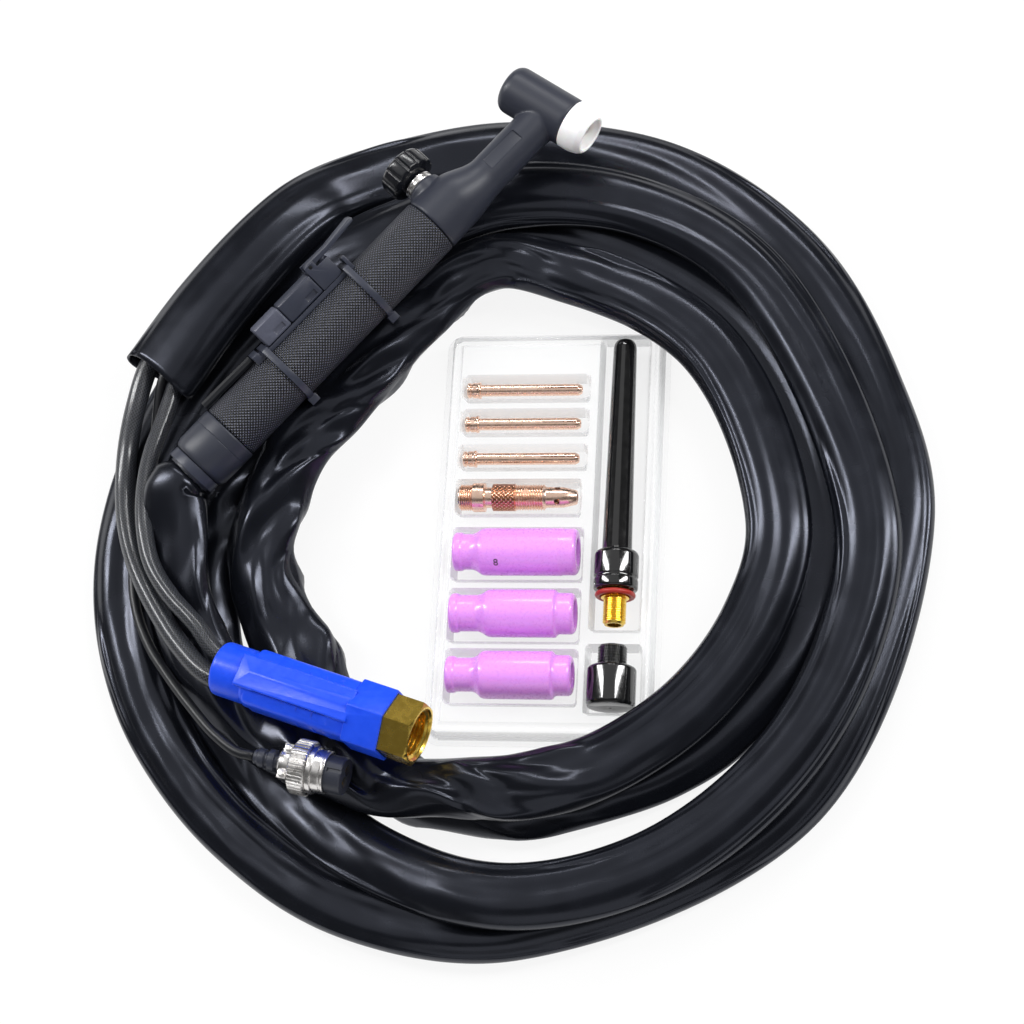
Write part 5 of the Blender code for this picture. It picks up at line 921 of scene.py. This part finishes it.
# ------------------------------------------------------------------ control plug
# Two-pole screw plug: plated zinc shell and coupling ring, rubber insert with two sockets,
# a cord clamp held by two screws and a ribbed rubber strain relief.
thin = CABLE_D / 2 + 0.0009
relief = lathe("plug_ribbed_relief", PLUG, [
    (0.0, thin), (0.0013, thin), (0.0020, 0.0040), (0.0045, 0.0040), (0.0051, thin), (0.0059, thin),
    (0.0066, 0.0046), (0.0091, 0.0046), (0.0097, thin), (0.0110, thin)], 64, False, 0.0003, moulded_rubber)
set_down(relief, "torch", "rubber_black", "plug_strain_relief")
clamp = edged("plug_clamp", "plug_cord_clamp", 0.0002, bright_nickel)
set_down(clamp, "torch", "nickel", "plug_clamp")
for side in ("left", "right"):
    screw = edged("plug_clamp_screw_" + side, "clamp_screw_" + side, 0.0001, bright_nickel)
    set_down(screw, "torch", "nickel", "plug_clamp_screw_" + side)
shell_start = 0.0110 + 0.0003 + 0.0062 + 0.0003
flange = shell_start + 0.0077
shell_end = shell_start + 0.0150
shell = lathe("plug_plated_shell", PLUG, [
    (shell_start, 0.0062), (shell_start + 0.0004, 0.0090), (flange, 0.0090), (flange, 0.0100),
    (flange + 0.0022, 0.0100), (flange + 0.0022, 0.0090), (shell_end - 0.0018, 0.0090),
    (shell_end - 0.0016, 0.0087), (shell_end - 0.0010, 0.0087), (shell_end - 0.0008, 0.0090),
    (shell_end, 0.0088), (shell_end, 0.0081), (shell_start + 0.003, 0.0081), (shell_start + 0.003, 0.0040),
    (shell_start, 0.0040)], 72, True, 0.0002, bright_nickel)
set_down(shell, "torch", "nickel", "plug_shell")
ring_start = shell_start + 0.0001
KNURL_TEETH = 44
ring = fresh("plug_knurled_ring", bpy.ops.mesh.primitive_cylinder_add, vertices=KNURL_TEETH * 4, radius=0.0115,
             depth=0.0075)
for vert in ring.data.vertices:
    number = round(math.atan2(vert.co.y, vert.co.x) % math.tau / math.tau * KNURL_TEETH * 4)
    if number % 4 >= 2:
        vert.co.x *= 0.955
        vert.co.y *= 0.955
ring.data.transform(PLUG @ Matrix.Translation((ring_start + 0.00375, 0, 0)) @ X_AXIS)
shape_with(ring, lathe("ring_form", PLUG, [
    (ring_start - 0.001, 0.0102), (ring_start, 0.0106), (ring_start + 0.0010, 0.0118),
    (ring_start + 0.0065, 0.0118), (ring_start + 0.0075, 0.0106), (ring_start + 0.0085, 0.0102)],
                       72, soft=0), "INTERSECT")
shape_with(ring, lathe("ring_bore_form", PLUG, [(ring_start - 0.002, 0.0091), (ring_start + 0.01, 0.0091)],
                       72, soft=0))
smooth_by_angle(ring, 30)
coat(ring, bright_nickel)
set_down(ring, "plug_ring", "nickel", "plug_coupling_ring")
insert_start, insert_end = shell_start + 0.0033, shell_end + 0.0072
plug_insert = lathe("plug_rubber_insert", PLUG, [
    (insert_start, 0.0078), (insert_end - 0.0004, 0.0078), (insert_end, 0.0074)], 72, False, 0.0003)
for side in (-1, 1):
    socket = lathe("socket_form", PLUG @ Matrix.Translation((0, side * 0.0026, 0)),
                   [(insert_end - 0.0090, 0.0025), (insert_end + 0.002, 0.0025)], 40, soft=0)
    shape_with(plug_insert, socket)
key = block("key_form", PLUG, (insert_end - 0.0062, -0.0008, 0.0070), (insert_end + 0.001, 0.0008, 0.0090))
shape_with(plug_insert, key)
smooth_by_angle(plug_insert, 38)
coat(plug_insert, moulded_rubber)
set_down(plug_insert, "torch", "rubber_black", "plug_insert")

# ------------------------------------------------------------------ collets and collet body
# Drawn copper collets with a turned head and a sawn slit, and a turned copper collet body
# with its two threads, a rolled diamond knurl and four gas holes.
TRAY = TABLE @ Matrix.Translation((0.0166, -0.0130, 0.0)) @ TRAY_TURN
KIT_LEFT, POCKET_FLOOR, CLEAR = -0.0392, 0.0006, 0.0003
COLLET_ROWS, COLLET_LENGTH, COLLET_R = (0.0672, 0.0512, 0.0350), 0.0510, 0.0037
collet_bodies = ("collet_a", "collet_b", "collet_c")
for index, row in enumerate(COLLET_ROWS):
    place = TRAY @ Matrix.Translation((KIT_LEFT, row, POCKET_FLOOR + COLLET_R + CLEAR))
    collet = lathe(f"copper_collet_{index + 1}", place, [
        (0.0, 0.0012), (0.0, 0.0030), (0.0004, 0.0034), (0.0014, 0.0034), (0.0016, 0.0029), (0.0021, 0.0029),
        (0.0023, 0.0034), (0.0046, 0.0034), (0.0050, 0.0037), (0.0058, 0.0037), (0.0062, 0.0026),
        (0.0350, 0.0026), (0.0494, 0.0026), (0.0510, 0.0018), (0.0510, 0.0012)], 64, True, 0.0002)
    slit = block("slit_form", place, (0.0345, -0.00022, -0.004), (0.0530, 0.00022, 0.004))
    shape_with(collet, slit)
    smooth_by_angle(collet, 35)
    coat(collet, drawn_copper)
    set_down(collet, collet_bodies[index], "copper", f"collet_{index + 1}")
GAS_BODY_ROW, GAS_BODY_LENGTH, GAS_BODY_R = 0.0162, 0.0515, 0.0063
place = TRAY @ Matrix.Translation((KIT_LEFT, GAS_BODY_ROW, POCKET_FLOOR + GAS_BODY_R + CLEAR))
body_rows = ([(0.0, 0.0039), (0.0, 0.0050)] + thread(0.0004, 0.0060, 0.0010, 0.0057, 0.0051)
             + [(0.0062, 0.0063), (0.0112, 0.0063), (0.0116, 0.0045), (0.0144, 0.0045),
                (0.0148, 0.0059), (0.0246, 0.0059)]
             + thread(0.0249, 0.0375, 0.00115, 0.0056, 0.0050)
             + [(0.0382, 0.0045), (0.0455, 0.0044), (0.0509, 0.0032), (0.0515, 0.0027),
                (0.0515, 0.0017), (0.0435, 0.0017), (0.0415, 0.0039)])
gas_body = lathe("copper_collet_body", place, body_rows, 72, True, 0)
for quarter in (45, 135):
    hole_place = place @ Matrix.Translation((0.0430, 0, 0)) @ Matrix.Rotation(math.radians(quarter), 4, "X")
    hole_place = hole_place @ Matrix.Rotation(math.radians(90), 4, "Z")
    shape_with(gas_body, lathe("gas_hole_form", hole_place, [(-0.01, 0.00125), (0.01, 0.00125)], 32, soft=0))
smooth_by_angle(gas_body, 30)
# Copper with rolled diamonds 1 mm apart: painted highlights on the tips over painted shade in the grooves.
rolled_copper, tree, shader = finish("knurled_copper", "#f6c8ae", 0.26, 1.0)
knurl(tree, shader, 40, 0.0063, 0.22, ("#b87a5c", "#fbd6c0"))
coat(gas_body, drawn_copper, rolled_copper)
back = place.inverted()
for face in gas_body.data.polygons:
    spot = back @ face.center
    if 0.0150 < spot.x < 0.0245 and math.hypot(spot.y, spot.z) > 0.0057:
        face.material_index = 1
set_down(gas_body, "gas_collet_body", "copper", "collet_body")

# ------------------------------------------------------------------ ceramic nozzles
# Pressed and fired alumina, dyed lilac, with a satin glaze.
# The thinner neck of each screws onto the collet body; the three have different lips.

# Fired alumina under a satin glaze: even lilac with one long soft highlight.
lilac = grained("fired_lilac_alumina", "#e394f2", 0.30, 1.2, 0.004, ("#e192f0", "#e598f4"), (0.26, 0.31), 1.0,
                IOR=1.6, Subsurface_Weight=0.10, Subsurface_Scale=0.002, Coat_Weight=0.3, Coat_Roughness=0.15)
NOZZLE_LENGTH, NOZZLE_R, NOZZLE_ROWS = 0.0535, 0.0102, (-0.0098, -0.0372, -0.0642)
nozzle_bodies = ("nozzle_a", "nozzle_b", "nozzle_c")
nozzle_shapes = ((0.0077, 0.0090, 0.0100), (0.0078, 0.0130, 0.0088), (0.0072, 0.0120, 0.0086))
for index, (row, (neck_r, neck_length, lip_r)) in enumerate(zip(NOZZLE_ROWS, nozzle_shapes)):
    place = TRAY @ Matrix.Translation((KIT_LEFT, row, POCKET_FLOOR + NOZZLE_R + CLEAR))
    lip = NOZZLE_LENGTH - 0.0075
    bore = min(neck_r, lip_r) - 0.0019
    rows = [(0.0, neck_r - 0.0002), (0.0008, neck_r + 0.0006), (0.0032, neck_r + 0.0006), (0.0042, neck_r),
            (neck_length - 0.001, neck_r), (neck_length + 0.0008, neck_r + 0.0007),
            (neck_length + 0.0030, NOZZLE_R - 0.0003), (neck_length + 0.0050, NOZZLE_R),
            (lip - 0.0008, NOZZLE_R), (lip, lip_r + 0.0003), (lip + 0.0010, lip_r),
            (NOZZLE_LENGTH - 0.0012, lip_r), (NOZZLE_LENGTH, lip_r - 0.0012), (NOZZLE_LENGTH, bore + 0.0004),
            (NOZZLE_LENGTH - 0.0006, bore), (0.0006, bore), (0.0, bore + 0.0004)]
    nozzle = lathe(f"lilac_nozzle_{index + 1}", place, rows, 96, True, 0.0007, lilac)
    set_down(nozzle, nozzle_bodies[index], "alumina", f"nozzle_{index + 1}")
    if index == 0:
        bpy.ops.object.select_all(action="DESELECT")
        bpy.ops.object.text_add(location=(0, 0, 0))
        mark = bpy.context.active_object
        mark.name = "printed_size_number"
        mark.data.body = "8"
        mark.data.size = 0.0044
        mark.data.extrude = 0.00004
        bpy.ops.object.convert(target="MESH")
        mark = bpy.context.active_object
        mark.data.name = mark.name
        for vert in mark.data.vertices:
            around = math.radians(52) - vert.co.y / NOZZLE_R
            out = NOZZLE_R + 0.00003 + vert.co.z
            vert.co = (0.0205 - vert.co.x, -out * math.sin(around), out * math.cos(around))
        mark.data.transform(place)
        # Stamped ink: flat and dark, with no shine of its own.
        ink = grained("printed_black_ink", "#201722", 0.5, 0.4, 0.002, ("#1b131d", "#2a202d"), (0.45, 0.6), 2.0)
        mark.data.materials.append(ink)
        set_down(mark, nozzle_bodies[index], "alumina")

# ------------------------------------------------------------------ back caps
# Polished black phenolic caps that close the head behind the collet.
# The long one shows its brass thread and its red silicone sealing ring.

# Buffed phenolic: deep black that mirrors the soft boxes as long white lines.
polished = grained("polished_black_phenolic", "#0d0d0e", 0.10, 3.0, 0.01, ("#0b0b0c", "#121213"),
                   (0.07, 0.15), 2.0, IOR=1.6, Coat_Weight=0.5, Coat_Roughness=0.04)
CAP_ROW, LONG_CAP_TIP, LONG_CAP_R = 0.0308, 0.0885, 0.0095
ACROSS = Matrix.Rotation(math.radians(-90), 4, "Z")
LONG_CAP = TRAY @ Matrix.Translation((CAP_ROW, LONG_CAP_TIP, POCKET_FLOOR + LONG_CAP_R + CLEAR)) @ ACROSS
CAP = 0.1153
long_cap = lathe("long_cap_tube", LONG_CAP, [
    (0.0, 0.0012), (0.0005, 0.0026), (0.0016, 0.0040), (0.0032, 0.0048), (0.0050, 0.0051),
    (CAP - 0.0175, 0.0064), (CAP - 0.0168, 0.0088), (CAP - 0.0155, 0.0095), (CAP - 0.0060, 0.0095),
    (CAP - 0.0056, 0.0091), (CAP - 0.0048, 0.0091), (CAP - 0.0044, 0.0095), (CAP - 0.0008, 0.0095),
    (CAP, 0.0087), (CAP, 0.0030), (0.012, 0.0030)], 96, False, 0.0005, polished)
set_down(long_cap, "long_cap", "cap_black", "long_back_cap")
step_x = CAP + 0.0003
end_rows = ([(step_x, 0.0030), (step_x, 0.0060), (step_x + 0.0030, 0.0060)]
            + thread(step_x + 0.0034, step_x + 0.0142, 0.0010, 0.0049, 0.0043)
            + [(step_x + 0.0148, 0.0041), (step_x + 0.0148, 0.0030)])
cap_thread = lathe("long_cap_brass_end", LONG_CAP, end_rows, 72, True, 0, turned_brass)
set_down(cap_thread, "long_cap", "brass", "long_cap_thread")
# Moulded silicone: dull red, softly lit.
red_silicone = grained("red_silicone", "#a8281e", 0.38, 0.5, 0.01, ("#9c221a", "#b23025"), (0.32, 0.44), 2.0)
ring_x, ring_r = step_x + 0.0017, 0.0060 + 0.0003 + 0.0012
RING_BULK = 0.00115
round_section = [math.tau * part / 16 for part in range(16)]
oring = lathe("long_cap_sealing_ring", LONG_CAP, [
    (ring_x + RING_BULK * math.cos(a), ring_r + RING_BULK * math.sin(a)) for a in round_section],
              72, True, 0, red_silicone)
set_down(oring, "long_cap", "oring_red", "long_cap_oring")
SHORT_CAP_END, SHORT_CAP_R = -0.0515, 0.0104
SHORT_CAP = TRAY @ Matrix.Translation((CAP_ROW, SHORT_CAP_END, POCKET_FLOOR + SHORT_CAP_R + CLEAR)) @ ACROSS
short_rows = [(0.0, 0.0041), (0.0, 0.0057)] + thread(0.0004, 0.0088, 0.0012, 0.0062, 0.0056) + [
    (0.0090, 0.0090), (0.0096, 0.0100), (0.0104, SHORT_CAP_R), (0.0250, SHORT_CAP_R), (0.0262, 0.0098),
    (0.0265, 0.0086), (0.0265, 0.0005), (0.0225, 0.0005), (0.0225, 0.0041)]
short_cap = lathe("short_cap_button", SHORT_CAP, short_rows, 96, True, 0.0003, polished)
set_down(short_cap, "short_cap", "cap_black", "short_back_cap")

# ------------------------------------------------------------------ clear tray
# Vacuum-formed clear sheet with a pocket for each spare part.
# Its walls are soft and rounded as the mould draws them, and a shallow groove runs round the rim.
TRAY_BOX = (-0.0500, -0.0925, 0.0500, 0.0950)
SHEET, WALL_HEIGHT, ROOM = 0.0005, 0.0090, 0.0016
RIM_GROOVE, RIM_CORNER = 0.0016, 0.0070
pockets = []
for row, reach, half in ([(row, COLLET_LENGTH + 1.5 * ROOM, COLLET_R) for row in COLLET_ROWS]
                         + [(GAS_BODY_ROW, GAS_BODY_LENGTH, GAS_BODY_R)]
                         + [(row, NOZZLE_LENGTH, NOZZLE_R) for row in NOZZLE_ROWS]):
    pockets.append((KIT_LEFT - ROOM, row - half - ROOM, KIT_LEFT + reach + ROOM, row + half + ROOM))
for low, high, half in ((LONG_CAP_TIP - 0.1304, LONG_CAP_TIP, LONG_CAP_R),
                        (-0.0780, SHORT_CAP_END, SHORT_CAP_R)):
    pockets.append((CAP_ROW - half - ROOM, low - ROOM, CAP_ROW + half + ROOM, high + ROOM))


def inside(x, y, box, corner_r):
    """How far a point lies inside a rounded rectangle."""
    qx = abs(x - (box[0] + box[2]) / 2) - (box[2] - box[0]) / 2 + corner_r
    qy = abs(y - (box[1] + box[3]) / 2) - (box[3] - box[1]) / 2 + corner_r
    return corner_r - math.hypot(max(qx, 0.0), max(qy, 0.0)) - min(max(qx, qy), 0.0)


def slope(distance, width):
    """A soft step from 0 to 1 over a width."""
    share = min(1.0, max(0.0, distance / width))
    return share * share * (3 - 2 * share)


tray = fresh("clear_formed_tray", bpy.ops.mesh.primitive_grid_add, x_subdivisions=132, y_subdivisions=246,
             size=1.0)
width, depth = TRAY_BOX[2] - TRAY_BOX[0], TRAY_BOX[3] - TRAY_BOX[1]
for vert in tray.data.vertices:
    x = vert.co.x * width + (TRAY_BOX[0] + TRAY_BOX[2]) / 2
    y = vert.co.y * depth + (TRAY_BOX[1] + TRAY_BOX[3]) / 2
    edge = inside(x, y, TRAY_BOX, RIM_CORNER)
    if edge < 0.0:
        middle = Vector(((TRAY_BOX[0] + TRAY_BOX[2]) / 2, (TRAY_BOX[1] + TRAY_BOX[3]) / 2))
        spot = Vector((x, y))
        for _ in range(12):
            spot += (middle - spot).normalized() * max(0.0, -inside(spot.x, spot.y, TRAY_BOX, RIM_CORNER))
        x, y = spot
        edge = 0.0
    groove = slope(edge - 0.0056, 0.0008) * slope(0.0082 - edge, 0.0008)
    height = WALL_HEIGHT * slope(edge - 0.0025, 0.0016) - RIM_GROOVE * groove
    for pocket in pockets:
        height = min(height, WALL_HEIGHT * (1.0 - slope(inside(x, y, pocket, 0.0020), 0.0012)))
    vert.co = (x, y, SHEET + height * (1 - SHEET / WALL_HEIGHT))
tray.data.transform(TRAY)
wall = tray.modifiers.new("sheet", "SOLIDIFY")
wall.thickness = SHEET * 0.8
wall.offset = -1.0
bpy.ops.object.modifier_apply(modifier="sheet")
smooth_by_angle(tray, 60)
# Clear formed sheet: hardly seen face on; towards its slopes and edges a more opaque white stands in as painted
# reflection.
clear_sheet, tree, shader = finish("clear_formed_plastic", "#f4f6f8", 0.06, IOR=1.55)
# Grazing faces turn more opaque white: painted reflection.
weight = add(tree, "ShaderNodeLayerWeight", {"Blend": 0.35})
painted_reflection_alpha = add(tree, "ShaderNodeMapRange", {
    "Value": weight.outputs["Facing"], "From Min": 0.05, "From Max": 0.85, "To Min": 0.05, "To Max": 0.62})
tree.links.new(painted_reflection_alpha.outputs["Result"], shader.inputs["Alpha"])
coat(tray, clear_sheet)
set_down(tray, "tray", "tray_clear", "blister_tray")

# ------------------------------------------------------------------ the free cords
# The lead leaves the handle's boot and ends in its open mouth.
# The three lines that come out of it go on to the connector and the plug; the loop below changes nothing.
for piece, line, diameter in cords:
    if piece.name == "control_lead":
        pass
    elif piece.name == "power_lead_hose":
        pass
    else:
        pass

# ------------------------------------------------------------------ floor and light
# White paper table with soft boxes over it, as in a catalogue studio.
# The long strips draw the lines of light along the cover, and the overhead box fills.
bpy.ops.object.select_all(action="DESELECT")
bpy.ops.mesh.primitive_plane_add(size=6.0, location=(0, 0, -0.0004))
floor = bpy.context.active_object
floor.name = "white_table"
# Matt paper: white, with only the object's soft shadow on it.
paper, tree, shader = finish("white_paper", "#f2f2f2", 0.8)
rays = add(tree, "ShaderNodeLightPath")
glow = add(tree, "ShaderNodeEmission", {"Color": (1, 1, 1, 1), "Strength": 1.0})
seen = rays.outputs["Is Camera Ray"]
for kind in ("Is Glossy Ray", "Is Transmission Ray"):
    seen = add(tree, "ShaderNodeMath", {0: seen, 1: rays.outputs[kind]}, operation="MAXIMUM").outputs[0]
# The rest of the floor's look is its own shading, which keeps the object's shadow.
PLAIN_WHITE = 0.88
share = add(tree, "ShaderNodeMath", {0: seen, 1: PLAIN_WHITE}, operation="MULTIPLY")
blend = add(tree, "ShaderNodeMixShader", {0: share.outputs[0], 1: shader.outputs[0], 2: glow.outputs[0]})
tree.links.new(blend.outputs[0], tree.nodes["Material Output"].inputs["Surface"])
floor.data.materials.append(paper)
floor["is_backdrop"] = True

world = bpy.data.worlds.new("studio")
bpy.context.scene.world = world
world.use_nodes = True
tree = world.node_tree
sky = tree.nodes["Background"]
sky.inputs["Color"].default_value = (1, 1, 1, 1)
rays = add(tree, "ShaderNodeLightPath")
seen = add(tree, "ShaderNodeMapRange", {"Value": rays.outputs["Is Glossy Ray"], "To Min": 0.38, "To Max": 0.10})
level = add(tree, "ShaderNodeMath", {0: rays.outputs["Is Camera Ray"], 1: seen.outputs[0]}, operation="MAXIMUM")
tree.links.new(level.outputs[0], sky.inputs["Strength"])


def soft_box(name, at, size, power):
    """A rectangular soft light that faces the middle of the table."""
    lamp = bpy.data.lights.new(name, "AREA")
    lamp.shape = "RECTANGLE"
    lamp.size, lamp.size_y = size
    lamp.energy = power
    box = bpy.data.objects.new(name, lamp)
    bpy.context.collection.objects.link(box)
    box.location = at
    box.rotation_euler = (Vector((0, 0, 0)) - Vector(at)).to_track_quat("-Z", "Y").to_euler()


soft_box("overhead_box", (-0.25, 0.30, 1.75), (2.0, 2.0), 6.0)
soft_box("left_strip", (-1.2, 0.5, 1.15), (0.16, 1.2), 18.0)
soft_box("right_strip", (1.2, 0.3, 1.05), (0.14, 1.2), 16.0)
soft_box("back_strip", (0.2, 1.3, 1.25), (1.0, 0.12), 8.0)
soft_box("front_panel", (0.1, -1.5, 0.75), (1.6, 0.7), 2.4)
bpy.context.scene.view_settings.view_transform = "Standard"

low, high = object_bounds()
